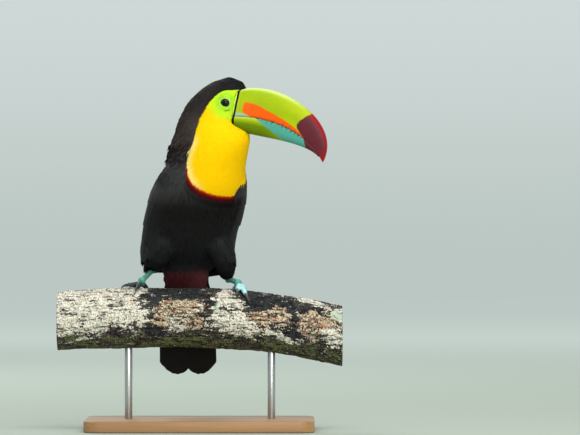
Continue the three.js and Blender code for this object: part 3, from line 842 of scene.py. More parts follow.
def blades(paths, outs, half_widths, rows, cols, lift, fray, thick, camber, skew, drape=None, blunt=0.3,
           tilt=0.0, taper=0.36, curl=0.5, overhang=0.0):
    """The points of many blades, their maps and the direction that each point is shaded for. Each path has
    rows + 1 places with the outward direction at each, and lift is its height there. A draped blade hugs
    the skin over its whole width, and can hang over the skin's edge by a length. Curl is how round the
    vane looks from side to side."""
    count = len(paths)
    forward = unit(np.gradient(paths, axis=1))
    side = unit(np.cross(outs, forward))
    length = np.linalg.norm(np.diff(paths, axis=1), axis=2).sum(1)
    s = np.linspace(0, 1, rows + 1)[None, :, None]
    t = np.linspace(-1, 1, cols + 1)[None, None, :]
    width = (0.34 + 0.66 * ease(0, 0.45, s)) * (1 - taper * ease(0.5, 1, s))
    width = width * half_widths[:, None, None]
    back = blunt * (t + skew[:, None, None] * 0.5) ** 2 * s ** 2
    frayed = random.normal(0, 1, (count, rows + 1, cols + 1)) * fray * ease(0.35, 1, s)
    along = (frayed - back) * length[:, None, None]
    across = t * width * (1 + 0.5 * frayed)
    spread_out = [arrow[:, :, None, :] for arrow in (paths, forward, side, outs)]
    base = spread_out[0] + spread_out[1] * along[..., None] + spread_out[2] * across[..., None]
    height = lift[:, :, None] - camber * half_widths[:, None, None] * t ** 2 + tilt * t
    body = thick * np.sin(np.pi * np.clip(s, 0.02, 0.98)) ** 0.5 * (1 - t ** 2)
    if drape is None:
        out = np.broadcast_to(spread_out[3], base.shape)
    else:
        spots, faces, weights = drape.nearest(base.reshape(-1, 3))
        base = spots.reshape(base.shape)
        out = unit(drape.blend(drape.normals, faces, weights)).reshape(base.shape)
        run = unit(paths[:, rows * 3 // 4] - paths[:, rows // 2])[:, None, None, :]
        base = base + run * (overhang * ease(0.7, 1, s))[..., None]
    top = base + out * (height + body / 2)[..., None]
    low = (base + out * (height - body / 2)[..., None])[:, 1:-1, 1:-1]
    points = np.concatenate([top.reshape(count, -1, 3), low.reshape(count, -1, 3)], 1)
    facing = unit(out + spread_out[2] * (curl * t)[..., None] + 0 * base)
    flat = np.stack(np.broadcast_arrays(across, length[:, None, None] * (s - back) + 0 * t), -1) / 10
    patch = np.stack(np.broadcast_arrays(0 * s + t, 2 * s - 1 + 0 * t), -1)
    patch = np.broadcast_to(patch, (count, rows + 1, cols + 1, 2))
    maps = [np.concatenate([m.reshape(count, -1, m.shape[-1]),
                            m[:, 1:-1, 1:-1].reshape(count, -1, m.shape[-1])], 1)
            for m in (flat, patch, facing)]
    return (points, *maps)


def joined_blades(sets, patch_size=0.0015):
    """One mesh from sets of blades. Each set has its grid, its blades, their places on the skin's map and
    the colour of each of their points."""
    parts = []
    start = 0
    for rows, cols, (place, flat, patch, facing), roots, tint in sets:
        shape, size, rim = lens_faces(rows, cols)
        first = start + size * np.arange(len(place))[:, None, None]
        grids = (place, shape + first, rim + first, flat, roots[:, None] + patch * patch_size, tint, facing)
        parts.append([grid.reshape(-1, grid.shape[-1]) for grid in grids])
        start += size * len(place)
    points, faces, rims, flats, patches, tints, facings = (np.concatenate(part) for part in zip(*parts))
    mesh = bpy.data.meshes.new("blades")
    mesh.vertices.add(len(points))
    mesh.vertices.foreach_set("co", points.ravel())
    mesh.loops.add(faces.size)
    mesh.loops.foreach_set("vertex_index", faces.ravel())
    mesh.polygons.add(len(faces))
    mesh.polygons.foreach_set("loop_start", np.arange(len(faces)) * 4)
    mesh.update(calc_edges=True)
    for name, values in (("OFBake", patches), ("Vane", flats)):
        layer = mesh.uv_layers.new(name=name)
        layer.data.foreach_set("uv", values[faces.ravel()].astype(np.float32).ravel())
    paint(mesh, "tint", tints)
    paint(mesh, "facing", facings, "FLOAT_VECTOR")
    ends = np.sort(edges_of(mesh), 1)
    keys = ends[:, 0].astype(np.int64) * start + ends[:, 1]
    sharp = np.isin(keys, rims[:, 0].astype(np.int64) * start + rims[:, 1])
    mesh.attributes.new("sharp_edge", "BOOLEAN", "EDGE").data.foreach_set("value", sharp)
    return mesh


print("a blade of 6 by 4 has", len(lens_faces(6, 4)[0]), "faces")

# %% [markdown]
# ## The lie of the coat
# Feathers point away from the bill: back over the crown and the cheeks, down the nape and the bib, then
# down and slightly back along the body, and along the thigh to the heel. The head and the body have a
# guiding direction each, and the two are blended over the neck. From its root a feather is marched over
# the skin in short steps, so that it follows every bulge, and it rises as it goes, so that each tip lies
# over the roots of the feathers behind it.

# %% Combing
heel_inset = 8
heel = {"left": middle_of("thigh_left"), "right": middle_of("thigh_right")}
for hand in heel:
    low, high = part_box("thigh_" + hand)
    heel[hand][2] = low[2] / MM
    heel[hand][1] = high[1] / MM - heel_inset
body_lie = np.array([0.0, 0.30, -0.95])
tail_lie = np.array([0.0, 0.42, -0.91])
wing_lie = np.array([0.0, 0.34, -0.94])


def lie(places, owner):
    """The direction that the coat is combed in at each place, before it is laid on the skin."""
    head_lie = -head_ahead + np.array([0.0, 0.0, -0.55])
    arrows = mixed(body_lie, head_lie, ease(298, 336, places[:, 2]))
    for hand in heel:
        arrows = np.where(is_part(owner, "thigh_" + hand)[:, None], unit(heel[hand] - places), arrows)
        arrows = np.where(is_part(owner, "wing_" + hand)[:, None], wing_lie, arrows)
    return np.where(is_part(owner, "tail_coverts")[:, None], tail_lie, arrows)


def combed(roots, owner, lengths, steps, sway):
    """Marches a path over the skin from each root. Gives the places and the outward directions."""
    places = roots
    paths = []
    outs = []
    for _ in range(steps + 1):
        spots, faces, weights = skin.nearest(places)
        out = unit(skin.blend(skin.normals, faces, weights))
        along = lie(spots, owner)
        along = unit(along - out * (along * out).sum(1)[:, None])
        along = unit(along + np.cross(out, along) * sway[:, None])
        paths.append(spots)
        outs.append(out)
        places = spots + along * (lengths / steps)[:, None]
    return np.stack(paths, 1), np.stack(outs, 1)


# %% Choosing the roots
def thinned(places, gaps):
    """Which of these scattered places to keep, so that no two kept ones are closer than their gap."""
    cell = float(gaps.max())
    kept = {}
    chosen = []
    steps = [(i, j, k) for i in (-1, 0, 1) for j in (-1, 0, 1) for k in (-1, 0, 1)]
    for number, (place, gap) in enumerate(zip(places.tolist(), gaps.tolist())):
        key = tuple(int(value // cell) for value in place)
        near = []
        for step in steps:
            near.extend(kept.get((key[0] + step[0], key[1] + step[1], key[2] + step[2]), ()))
        x, y, z = place
        if all((x - a) ** 2 + (y - b) ** 2 + (z - c) ** 2 > gap * gap for a, b, c in near):
            kept.setdefault(key, []).append(place)
            chosen.append(number)
    return np.array(chosen)


head_floor = 286
face_middles = skin.points[skin.corners].mean(1)
near_face = from_face(face_middles) < 14
upper_body = face_middles[:, 2] > head_floor
yellow_body = inside_bib(face_middles) > -9
richness = 1.6 + 1.6 * upper_body + 2.4 * yellow_body + 3.0 * near_face
roots, root_faces, root_weights = skin.sample(richness)
root_owner = owners(roots)
root_inside = inside_bib(roots)
root_level = below_eye(roots)
root_face = from_face(roots)
root_facing, _ = bearing(roots)
on_wing = is_part(root_owner, "wing_left", "wing_right")
on_thigh = is_part(root_owner, "thigh_left", "thigh_right")
on_vent = is_part(root_owner, "tail_coverts")
on_head = ~(on_wing | on_thigh | on_vent) & (roots[:, 2] > head_floor)
on_bib = ~on_wing & (root_inside > -7.5 * ease(64, 86, root_level)) & ~on_thigh & ~on_vent
quill_cover = 246.0
print("scattered", len(roots), "places for roots")

# %% [markdown]
# ## The coat, region by region
# Each region becomes one piece: the cap and the shaggy nape, the face, the bib, its red band, the breast,
# the back, the shoulders of the wings, the thighs and the red feathers under the tail. On the body a
# feather is a broad vane. On the head, the bib and the thighs it is a fine soft tuft, so these regions
# take thousands, set about a millimetre apart, and they are shaded almost as smoothly as the skin itself.
# The nape stands out most, with loose tips against the light.

# %% Growing one region
def coat_piece(name, mask, size, gap, rows, cols, broad, finish=black_plumage, slot="feathers_black",
               fray=0.03, raised=1.0, loose=0.0, taper=0.36, curl=0.5, shade=0.38, thick=0.2, tuck=0.0):
    """Grows the feathers of one region and joins them into a piece. Size and gap are given for all roots,
    broad is half a feather's width as a share of its length, shade is how much painted shade darkens its
    root, where the feathers over it lie, and tuck is how far its tip bends back into the coat."""
    some = np.flatnonzero(mask)
    some = some[thinned(roots[some], gap[some])]
    count = len(some)
    size = size[some] * random.normal(1, 0.08, count)
    sway = random.normal(0, 0.09, count)
    paths, outs = combed(roots[some], root_owner[some], size, rows, sway)
    depth = plumage_at(paths[:, -1], root_owner[some]) * raised
    tip = depth * random.normal(0.95, 0.05, count) + wispy[some] * loose * random.random(count) ** 3
    s = np.linspace(0, 1, rows + 1)
    lift = 0.12 + tip[:, None] * (s ** 0.85 * (1 - tuck * ease(0.6, 1, s)))[None]
    to_eye = [np.hypot(*[(paths[:, 2:] - centre) @ arrow for arrow in (bill_ahead, bill_up)])
              for centre in eye_centre.values()]
    clear = np.minimum(*to_eye).min(1) > bare_reach
    side_on_head = np.abs((paths[:, -1] - head_middle) @ head_right) > 9
    fine = clear | ~side_on_head
    some, paths, outs, size, lift = some[fine], paths[fine], outs[fine], size[fine], lift[fine]
    skew = random.normal(0, 0.2, len(some))
    shape = blades(paths, outs, broad * size, rows, cols, lift, fray, thick, 0.16, skew,
                   taper=taper, curl=curl)
    seen = 0.2 * paths[:, int(rows * 0.7), None] + 0.8 * paths
    tint = marking(seen.reshape(-1, 3), np.repeat(root_owner[some], rows + 1)).reshape(seen.shape)
    tint = tint * random.normal(1, 0.03 + 0.08 * shade, (len(some), 1, 1))
    # Painted shade: each feather is darker toward its root, where the feathers over it lie.
    tint = tint * (1 - shade + shade * ease(0, 0.6, s))[None, :, None]
    row_of = rows_of_points(rows, cols)
    places = place_on_map(root_faces[some], root_weights[some])
    mesh = joined_blades([(rows, cols, shape, places, np.clip(tint[:, row_of], 0, 1))])
    print(name, "has", len(some), "feathers")
    return finish_piece(name, mesh, [finish], ())


def by_face(*sizes):
    """A measure for each root by its distance from the bill and the eyes: at 1, 10, 24 and 45 mm."""
    return np.interp(root_face, (1, 10, 24, 45), sizes)


def even(size):
    return np.full(len(roots), float(size))


bare_reach = 6.9
wispy = 0.2 + 0.8 * ease(310, 302, roots[:, 2])
silky_tuft = {"fray": 0.025, "taper": 0.75, "curl": 0.4, "shade": 0.3, "thick": 0.16}

# %% The black coat
black_part = ~on_bib & ~on_wing & ~on_thigh & ~on_vent
front_half = np.abs(root_facing - 15) < 95
coat_piece("cap_feathers", black_part & on_head & (root_face < 30), by_face(2.6, 4.4, 7.0, 9.0),
           by_face(0.62, 0.8, 1.0, 1.15), 4, 2, 0.13, raised=0.85, **silky_tuft)
coat_piece("nape_feathers", black_part & on_head & (root_face >= 30), even(10.5), even(1.1), 5, 2, 0.105,
           raised=0.85, loose=3.4, **silky_tuft)
coat_piece("breast_feathers", black_part & ~on_head & front_half, even(11), even(1.65), 5, 3, 0.15)
coat_piece("back_feathers", black_part & ~on_head & ~front_half, even(11), even(1.65), 5, 3, 0.15)
coat_piece("shoulder_feathers", on_wing & (roots[:, 2] >= quill_cover), even(9.0), even(1.5), 5, 3, 0.17,
           fray=0.02)
coat_piece("thigh_feathers", on_thigh, even(7.0), even(1.2), 4, 2, 0.13, **silky_tuft)

# %% The face, the bib and the red feathers
cheek_floor = 24
yellow_part = on_bib & (root_inside > 0)
yellow_size = by_face(2.2, 3.6, 5.4, 7.0)
yellow_coat = {"finish": yellow_plumage, "slot": "feathers_yellow", "fray": 0.014, "taper": 0.6,
               "curl": 0.12, "shade": 0.03, "thick": 0.06, "tuck": 0.4}
red_coat = {"finish": red_plumage, "slot": "feathers_red", **silky_tuft}
coat_piece("face_feathers", yellow_part & (root_level < cheek_floor), yellow_size,
           by_face(0.52, 0.64, 0.75, 0.82), 3, 2, 0.15, **yellow_coat)
for side, half in (("right", root_facing < 58), ("left", root_facing >= 58)):
    coat_piece("bib_feathers_" + side, yellow_part & (root_level >= cheek_floor) & half, yellow_size,
               by_face(0.6, 0.7, 0.76, 0.8), 4, 2, 0.15, **yellow_coat)
coat_piece("band_feathers", on_bib & (root_inside <= 0), even(6.0), even(0.95), 4, 2, 0.12, **red_coat)
coat_piece("vent_feathers", on_vent, even(10), even(1.15), 5, 2, 0.11, loose=0.5, **red_coat)
hidden_by_skin = [name for name in flesh if not name.startswith("eye")]
finish_piece("skin", body_mesh, [skin_finish], hidden_by_skin)

# %% [markdown]
# ## The quills of the folded wing
# Over each side lies a folded wing. Its primaries sweep back to the tip over the tail root, the
# secondaries lie over them and the tertials over those, and short coverts are tiled over all their roots.
# Each quill is laid by its own start, middle and end on the wing, found by looking in at the skin from
# outside, and is draped there, so that the whole wing keeps the outline of the model.

# %% Places on a folded wing
turn_height = (163, 178, 200, 225, 250, 270, 285)
turn_degrees = (0, 2, 5, 10, 16, 24, 38)
wing_lead = 46.0
wing_trail = -83.0
hem_height = {1: 158.0, -1: 162.5}
gap_height = 174.0
tip_height = 142.0
hem_rise = 3.8
hem_overhang = 2.0


def hem(hand, lean):
    """The height of the wing's lower edge at a lean, in degrees ahead of the bird's side."""
    across = 2 * (wing_lead - lean) / (wing_lead - wing_trail) - 1
    back = hem_height[hand] + (gap_height - hem_height[hand]) * ease(0.33, 0.56, across)
    low = back + (tip_height - back) * ease(0.8, 0.97, across)
    return low + 30 * np.maximum(0, -across - 0.2) ** 1.5


def wing_place(hand, lean, height):
    """The skin of the left (1) or right (-1) wing at a lean and a height, looked at from outside."""
    facing = np.radians(np.interp(height, turn_height, turn_degrees) + hand * (90 - lean))
    away = np.stack([np.sin(facing), -np.cos(facing), 0 * facing], -1)
    places = middle_line(height)
    spots = places.copy()
    for number, (place, arrow) in enumerate(zip(places, away)):
        hit = skin.tree.ray_cast(place + 90 * arrow, -arrow, 90.0)
        spots[number] = hit[0] if hit[0] is not None else place + 40 * arrow
    return spots


def quills(hand, starts, ends, half_width, low_lift, high_lift, rows=14, cols=6, bow=4.0, step_up=0.05,
           overhang=0.0):
    """A row of quills on one wing. Starts and ends are (lean, height) pairs for the first and the last
    quill, and the ones between are spaced evenly."""
    paths = []
    s = np.linspace(0, 1, rows + 1)
    for (lean, height), (end_lean, end_height) in zip(starts, ends):
        curve_lean = lean + (end_lean - lean) * s ** 1.25 + bow * np.sin(np.pi * s)
        curve_height = height + (end_height - height) * s
        paths.append(wing_place(hand, curve_lean, curve_height))
    paths = np.stack(paths)
    spots, faces, weights = skin.nearest(paths.reshape(-1, 3))
    outs = unit(skin.blend(skin.normals, faces, weights)).reshape(paths.shape)
    order = np.arange(len(paths))[:, None] * step_up
    lift = low_lift + (high_lift - low_lift) * s[None] ** 0.7 + order
    widths = np.full(len(paths), half_width) * random.normal(1, 0.03, len(paths))
    shape = blades(paths, outs, widths, rows, cols, lift, 0.003, 0.3, 0.03, np.zeros(len(paths)), skin, 0.1,
                   -hand * 0.3, overhang=overhang)
    place = place_on_map(faces, weights).reshape(len(paths), rows + 1, 2)[:, rows // 2]
    owner = np.full(spots.shape[0], flesh.index("wing_left" if hand > 0 else "wing_right"))
    tint = 0.85 * marking(spots, owner).reshape(paths.shape) * random.normal(1, 0.05, (len(paths), 1, 1))
    return rows, cols, shape, place, tint[:, rows_of_points(rows, cols)]


def evenly(first, last, count):
    """Pairs from the first to the last, evenly spaced."""
    return [tuple(pair) for pair in np.linspace(first, last, count)]


def ends_on_hem(hand, leans, rises):
    """Quill ends at these leans, each a little above the hem."""
    return [(lean, float(hem(hand, lean)) + rise) for lean, rise in zip(leans, rises)]


# %% Both wings
for hand, side in ((1, "left"), (-1, "right")):
    primary_leans = (-12, -22, -33, -43, -54, -65)
    primary_rises = (hem_rise, hem_rise, 6, 13, 9, 8)
    rows_of_quills = [
        quills(hand, [(-74, 226), (-77, 232)], [(-79.5, 152), (-81.5, 147)], 5.2, 0.6, 1.8, bow=0.0),
        quills(hand, evenly((36, 226), (-46, 232), 6), ends_on_hem(hand, primary_leans, primary_rises),
               8.0, 0.6, 1.6, overhang=hem_overhang),
        quills(hand, evenly((41, 238), (-34, 246), 10),
               ends_on_hem(hand, np.linspace(37, -62, 10), np.linspace(hem_rise, 20, 10)), 8.6, 1.0,
               2.1, overhang=hem_overhang),
        quills(hand, evenly((-20, 256), (-44, 262), 4), [(-46, 200), (-55, 195), (-64, 191), (-72, 187)],
               8.8, 1.3, 2.5),
        quills(hand, evenly((42, 246), (-44, 254), 13), evenly((38, 216), (-55, 214), 13),
               6.2, 1.3, 2.5, 10),
        quills(hand, evenly((42, 257), (-44, 266), 16), evenly((39, 236), (-52, 240), 16),
               4.8, 1.4, 2.5, 8),
    ]
    wing_mesh = joined_blades(rows_of_quills)
    finish_piece("wing_quills_" + side, wing_mesh, [quill_plumage], ())

# %% [markdown]
# ## The tail
# A closed tail is ten broad quills stacked like a fan, the middle pair on top toward the back and each
# next pair below and a little to the side. The rounded ends of the two halves leave the small notch
# between them. Their lengths, arch and spread follow the model's tail.

# %% The ten tail quills
tail_length = 122.0
quill_reach = 123.5
tail_pairs = 5
tail_surface = surface_of("tail")
low_part = tail_surface.points[tail_surface.points[:, 2] < tail_surface.points[:, 2].min() + 14]
high_part = tail_surface.points[tail_surface.points[:, 2] > 128]
tail_end = (low_part.min(0) + low_part.max(0)) / 2
tail_end[2] = low_part[:, 2].min()
tail_root = (high_part.min(0) + high_part.max(0)) / 2
tail_run = unit(tail_end - tail_root)
tail_across = np.array([1.0, 0.0, 0.0])
tail_back = unit(np.cross(tail_across, tail_run))
tail_root = tail_end - tail_run * tail_length
tail_half = float(tail_surface.points[:, 0].max() - tail_surface.points[:, 0].min()) / 2
print("tail root", tail_root.round(1), "end", tail_end.round(1), "half width", round(float(tail_half), 1))
tail_rows = 20
tail_cols = 10
tail_black = colour(20, 22, 22)
paths = []
outs = []
for pair in range(tail_pairs):
    for side in (-1, 1):
        s = np.linspace(0, 1, tail_rows + 1)
        aside = side * ((2.4 + 3.3 * pair) * (1 - s) ** 1.3 + (8.2 + 3.0 * pair) * (1 - (1 - s) ** 1.3))
        reach = quill_reach * (1 - 0.006 * (pair - 1) ** 2) * s
        arch = 5 * (aside / tail_half) ** 2
        layer = (1.1 - 0.45 * pair) + 0.12 * side
        paths.append(tail_root + tail_run * reach[:, None] + tail_across * aside[:, None]
                     + tail_back * (layer - arch * 0.6 - 2.5 * ease(0.35, 0.12, s))[:, None])
        outs.append(unit(tail_back + tail_across * (0.28 * aside / tail_half)[:, None]))
paths = np.stack(paths)
count = len(paths)
shape = blades(paths, np.stack(outs), np.full(count, 11.5), tail_rows, tail_cols,
               np.zeros((count, tail_rows + 1)), 0.0015, 0.45, 0.06, np.zeros(count), None, 0.075, taper=0.1)
_, faces, weights = skin.nearest(paths[:, 0])
tail_places = place_on_map(faces, weights) + np.linspace(-0.02, 0.02, count)[:, None]
tail_tint = np.broadcast_to(tail_black, shape[0].shape) * random.normal(1, 0.05, (count, 1, 1))
tail_mesh = joined_blades([(tail_rows, tail_cols, shape, tail_places, tail_tint)])
finish_piece("tail_quills", tail_mesh, [quill_plumage], ["tail"])

# %% [markdown]
# ## Wrapping a grid into a solid
# Toes, claws, both halves of the bill, the eyes and the branch are all rounds that change along their
# length. Each starts as a flat grid, whose points are moved to their places on the shape; then the two
# edges that meet are merged and the ends, drawn to a point, close by themselves.

# %% The wrapping tool
def wrapped(around, rows, place, merge=0.001):
    """A closed mesh from a grid. Place gives the point for u, the way round, and v, the way along, both
    from 0 to 1. Gives the mesh and the u and v of each of its points."""
    shape = bmesh.new()
    bmesh.ops.create_grid(shape, x_segments=around, y_segments=rows, size=1)
    u_layer = shape.verts.layers.float.new("u")
    v_layer = shape.verts.layers.float.new("v")
    flat = np.array([vert.co for vert in shape.verts])
    u, v = (flat[:, 0] + 1) / 2, (flat[:, 1] + 1) / 2
    for vert, spot, one, two in zip(shape.verts, place(u, v), u, v):
        vert.co = spot
        vert[u_layer] = one
        vert[v_layer] = two
    bmesh.ops.remove_doubles(shape, verts=shape.verts, dist=merge)
    bmesh.ops.recalc_face_normals(shape, faces=shape.faces)
    ways = np.array([(vert[u_layer], vert[v_layer]) for vert in shape.verts])
    return mesh_from(shape), ways[:, 0], ways[:, 1]


def spine_of(name, count, toward):
    """The middle line of a long node as a few places, ending on the side of the place given."""
    spots = surface_of(name).sample(3000)[0]
    middle = spots.mean(0)
    axis = np.linalg.svd(spots - middle, full_matrices=False)[2][0]
    axis = axis * np.sign((toward - middle) @ axis)
    way = (spots - middle) @ axis
    marks = np.linspace(way.min(), way.max(), count + 1)
    line = np.array([spots[(way >= a) & (way <= b)].mean(0) for a, b in zip(marks[:-1], marks[1:])])
    half = (marks[1] - marks[0]) / 2
    first = line[0] - unit(line[1] - line[0]) * half
    last = line[-1] + unit(line[-1] - line[-2]) * half
    return np.concatenate([first[None], line, last[None]])


def along_line(line, share):
    """The place at a share of the line's length, and the line's direction there."""
    steps = np.linalg.norm(np.diff(line, axis=0), axis=1)
    reach = np.concatenate([[0], np.cumsum(steps)])
    want = np.asarray(share) * reach[-1]

    def at(distance):
        return np.stack([np.interp(distance, reach, line[:, i]) for i in range(3)], -1)

    near = 0.04 * reach[-1]
    return at(want), unit(at(want + near) - at(want - near)), reach[-1]


def round_tube(line, upward, radius, around, rows):
    """A tube along a line. Radius gives the half-width and the half-height for the way along and the
    angle from the top, and upward the direction of its top at each place."""
    def place(u, v):
        spot, run, _ = along_line(line, v)
        top = upward(spot)
        side = unit(np.cross(run, top))
        top = np.cross(side, run)
        angle = 2 * np.pi * u
        wide, high = radius(v, angle)
        return spot + side * (wide * np.sin(angle))[:, None] + top * (high * np.cos(angle))[:, None]
    return wrapped(around, rows, place, 0.02)


print("a grid wraps into a round")

# %% [markdown]
# ## Legs and toes
# A toucan has two toes in front and two behind. The shanks and toes are bare: blue-green, with a row of
# broad plates down the front and fine grains beneath, knuckles at the joints and soft pads under them.
# Each limb is drawn along the middle line of its node, the limbs of a foot are remeshed as one skin so
# that no seam shows where toes meet, and the plates are then raised on it.

# %% The middle line of the branch
perch_points = surface_of("perch").points
perch_low, perch_high = (np.array(corner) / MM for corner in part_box("perch"))
ring_x = np.linspace(perch_low[0], perch_high[0], 13)
ring_z = []
for x in ring_x:
    ring = perch_points[np.abs(perch_points[:, 0] - x) < 1.0]
    ring_z.append((ring[:, 2].min() + ring[:, 2].max()) / 2)


def perch_middle(x):
    """The middle of the branch at each x."""
    return np.stack([x, 0 * x, np.interp(x, ring_x, ring_z)], -1)


def off_perch(places):
    """The direction away from the middle line of the branch."""
    return unit(places - perch_middle(places[:, 0]))


# %% One foot's skin
plate_pitch = 2.3
foot_voxel = 0.42
marks_per_limb = 60
teal = colour(96, 165, 150)
# Toes of the right foot in painted shade.
toe_painted_shade = colour(52, 62, 58)
toe_cyan = colour(180, 234, 232)


def round_ends(v, share):
    """1 along a limb, and falling to 0 like a ball within a share of each end."""
    over = np.clip(np.maximum(share - v, v - (1 - share)) / share, 0, 1)
    return np.sqrt(1 - over ** 2)


def toe_radius(v, angle):
    """Knuckles swell the toe at two joints, and a pad hangs under each stretch between."""
    taper = 2.9 * (1 - 0.24 * v)
    ends = round_ends(v, 0.1)
    knuckle = 0.3 * (np.exp(-((v - 0.36) / 0.07) ** 2) + np.exp(-((v - 0.7) / 0.07) ** 2))
    pad = 0.35 * np.clip(-np.cos(angle), 0, 1) ** 2 * np.sin(3 * np.pi * v) ** 2
    return (taper + knuckle) * ends * 0.97, (taper * 0.94 + knuckle + pad) * ends


def shank_radius(v, _):
    """The shank is narrow in the middle, and swells at the heel and at the ball of the foot."""
    swell = 1.4 * np.exp(-(v / 0.14) ** 2) + 1.7 * np.exp(-((1 - v) / 0.16) ** 2)
    ends = round_ends(v, 0.08)
    return (2.65 + swell) * ends, (2.95 + swell) * ends


def shank_front(places):
    """The direction that the front of the shank faces."""
    return np.broadcast_to(unit(np.array([0.0, -0.35, 1.0])), places.shape)


def foot_skin(side):
    """The bare skin of one leg, with the colour of each of its points and where the plates lie."""
    shank_end = np.mean([middle_of(f"toe_{side}_{number}") for number in (1, 2, 3, 4)], axis=0)
    lines = [spine_of("tarsus_" + side, 7, shank_end)]
    parts = [round_tube(lines[0], shank_front, shank_radius, 24, 50)[0]]
    shares = np.linspace(0, 1, marks_per_limb)
    lines[0] = along_line(lines[0], shares)[0]
    for number in (1, 2, 3, 4):
        line = spine_of(f"toe_{side}_{number}", 6, middle_of(f"claw_{side}_{number}"))
        inward = lines[0][-1] + (line[0] - lines[0][-1]) * 0.35
        line = np.concatenate([inward[None], line])
        parts.append(round_tube(line, off_perch, toe_radius, 22, 46)[0])
        lines.append(along_line(line, shares)[0])
    whole = bmesh.new()
    for part in parts:
        whole.from_mesh(part)
    mesh = remeshed(mesh_from(whole), foot_voxel)
    shape = bmesh.new()
    shape.from_mesh(mesh)
    smoothed(shape, 2)
    mesh = mesh_from(shape)
    places = points_of(mesh)
    outs = normals_of(mesh)
    marks = np.concatenate(lines)
    gap = ((places ** 2).sum(1)[:, None] + (marks ** 2).sum(1)[None] - 2 * places @ marks.T)
    nearest = gap.argmin(1)
    limb = nearest // marks_per_limb
    share = (nearest % marks_per_limb) / (marks_per_limb - 1)
    line_lengths = np.array([along_line(line, 0.5)[2] for line in lines])
    run = unit(np.gradient(np.stack(lines), axis=1)).reshape(-1, 3)[nearest]
    reach = share * line_lengths[limb] + ((places - marks[nearest]) * run).sum(1)
    top = np.where((limb == 0)[:, None], shank_front(places), off_perch(places))
    facing = (unit(places - marks[nearest]) * top).sum(1)
    on_top = ease(-0.1, 0.35, facing)
    phase = reach / plate_pitch
    groove = 1 - np.abs((phase % 1) * 2 - 1) ** 6
    grain = rough(places, 0.8, 4)
    rise = on_top * (0.2 * groove - 0.12) + (1 - on_top) * 0.12 * grain
    places = places + outs * rise[:, None]
    mesh.vertices.foreach_set("co", places.ravel())
    mesh.update()
    tone = np.where(limb == 0, 0.0, 1.0) * ease(0, 0.3, share)
    # The right foot's toes are dark grey-green: painted shade on that foot.
    toe_colour = toe_painted_shade if side == "right" else toe_cyan
    tint = mixed(teal, toe_colour, tone)
    # Painted shade: darker in the seams between the plates and on the sides turned away from the top.
    tint = tint * (0.72 + 0.28 * on_top * groove + 0.16 * rough(places, 3.0, 6))[:, None]
    return mesh, np.clip(tint, 0, 1)


leg_finish, recipe, shader = new_finish("leg_scales", Specular_IOR_Level=0.35)
scales = recipe.add("TexVoronoi", {"Vector": recipe.here(), "Scale": 1500.0}).outputs["Distance"]
cloud = recipe.placed(clouds, {"Scale": 260.0, "Depth": 0.7})["Shade"]
tint = recipe.painted("tint", "Color")
recipe.dress(shader, recipe.shaded(tint, cloud), recipe.between(scales, 0.0, 0.6, 0.42, 0.6),
             recipe.bump(scales, 0.5, 0.00012))

for side in ("left", "right"):
    leg_mesh, leg_tint = foot_skin(side)
    paint(leg_mesh, "tint", leg_tint)
    covered = ["tarsus_" + side] + [f"toe_{side}_{number}" for number in (1, 2, 3, 4)]
    finish_piece("leg_skin_" + side, leg_mesh, [leg_finish], covered)

# %% [markdown]
# ## Claws
# Each claw is a horn sheath, deep and flattened at the sides, that arches out of the end of its toe and
# comes down to the bark. Fine streaks run along it, and it is palest at its root.

# %% The eight claws
claw_finish, recipe, shader = new_finish("claw_horn", Specular_IOR_Level=0.5, Coat_Weight=0.15)
streak = recipe.placed(streaks, {"Along": 900.0, "Across": 900.0, "Depth": 0.9})
tint = recipe.painted("tint", "Color")
recipe.dress(shader, recipe.shaded(tint, streak["Shade"]),
             recipe.between(streak["Height"], 0.3, 0.7, 0.28, 0.42),
             recipe.bump(streak["Height"], 0.3, 0.0001))


def claw_radius(v, _):
    """A claw is deeper than it is wide, thickest near its root, and ends in a point."""
    body = 1.95 * (1 - v ** 1.3) ** 0.8 + 0.12
    root = np.sqrt(np.clip(v / 0.05, 0, 1))
    end = np.sqrt(np.clip((1 - v) / 0.03, 0, 1))
    return body * 0.78 * root * end, body * root * end


claw_black = colour(34, 32, 30)
claw_pale = colour(112, 118, 116)
for side in ("left", "right"):
    for number in (1, 2, 3, 4):
        node = f"claw_{side}_{number}"
        toe_middle = middle_of(f"toe_{side}_{number}")
        away = 2 * middle_of(node) - toe_middle
        line = spine_of(node, 6, away)
        line[0] = line[0] - unit(line[1] - line[0]) * 1.2
        claw_mesh, u, v = round_tube(line, off_perch, claw_radius, 16, 26)
        # The right foot's claws keep little of the pale root: painted shade, as on its toes.
        pale = 0.8 if side == "left" else 0.15
        claw_tint = mixed(claw_black, claw_pale, pale * (1 - v) ** 1.5)
        paint(claw_mesh, "tint", claw_tint)
        finish_piece(f"claw_sheath_{side}_{number}", claw_mesh, [claw_finish], [node])

# %% [markdown]
# ## The bill
# The bill is a hollow horn sheath, light but very bright. Seen from the side it has three edges: the
# culmen along the top, the mouth line and the keel beneath, each one smooth curve that ends at the hooked
# tip. Either half is a grid wrapped between the mouth line and its outer edge, full at the sides and
# rounded to a ridge. Forward-pointing notches cut its cutting edges.

# %% The curves of the bill
culmen = ((-2.8, 21.6), (29, 46.6), (116, 25.7), bill_tip)
mouth = ((2.2, -5.3), (33, 5.5), (82, 4.5), bill_tip)
keel = ((5.5, -18.3), (28, -21.3), (88, -4.7), bill_tip)
bill_half_width = 16.5
lower_end = 0.92
bill_root = 3.0
mouth_gap = 0.06


def bezier(handles, way):
    """The place on a curve of four handles, from 0 to 1."""
    a, b, c, d = (np.array(handle, float) for handle in handles)
    t = np.asarray(way)[..., None]
    return a * (1 - t) ** 3 + 3 * b * t * (1 - t) ** 2 + 3 * c * t ** 2 * (1 - t) + d * t ** 3


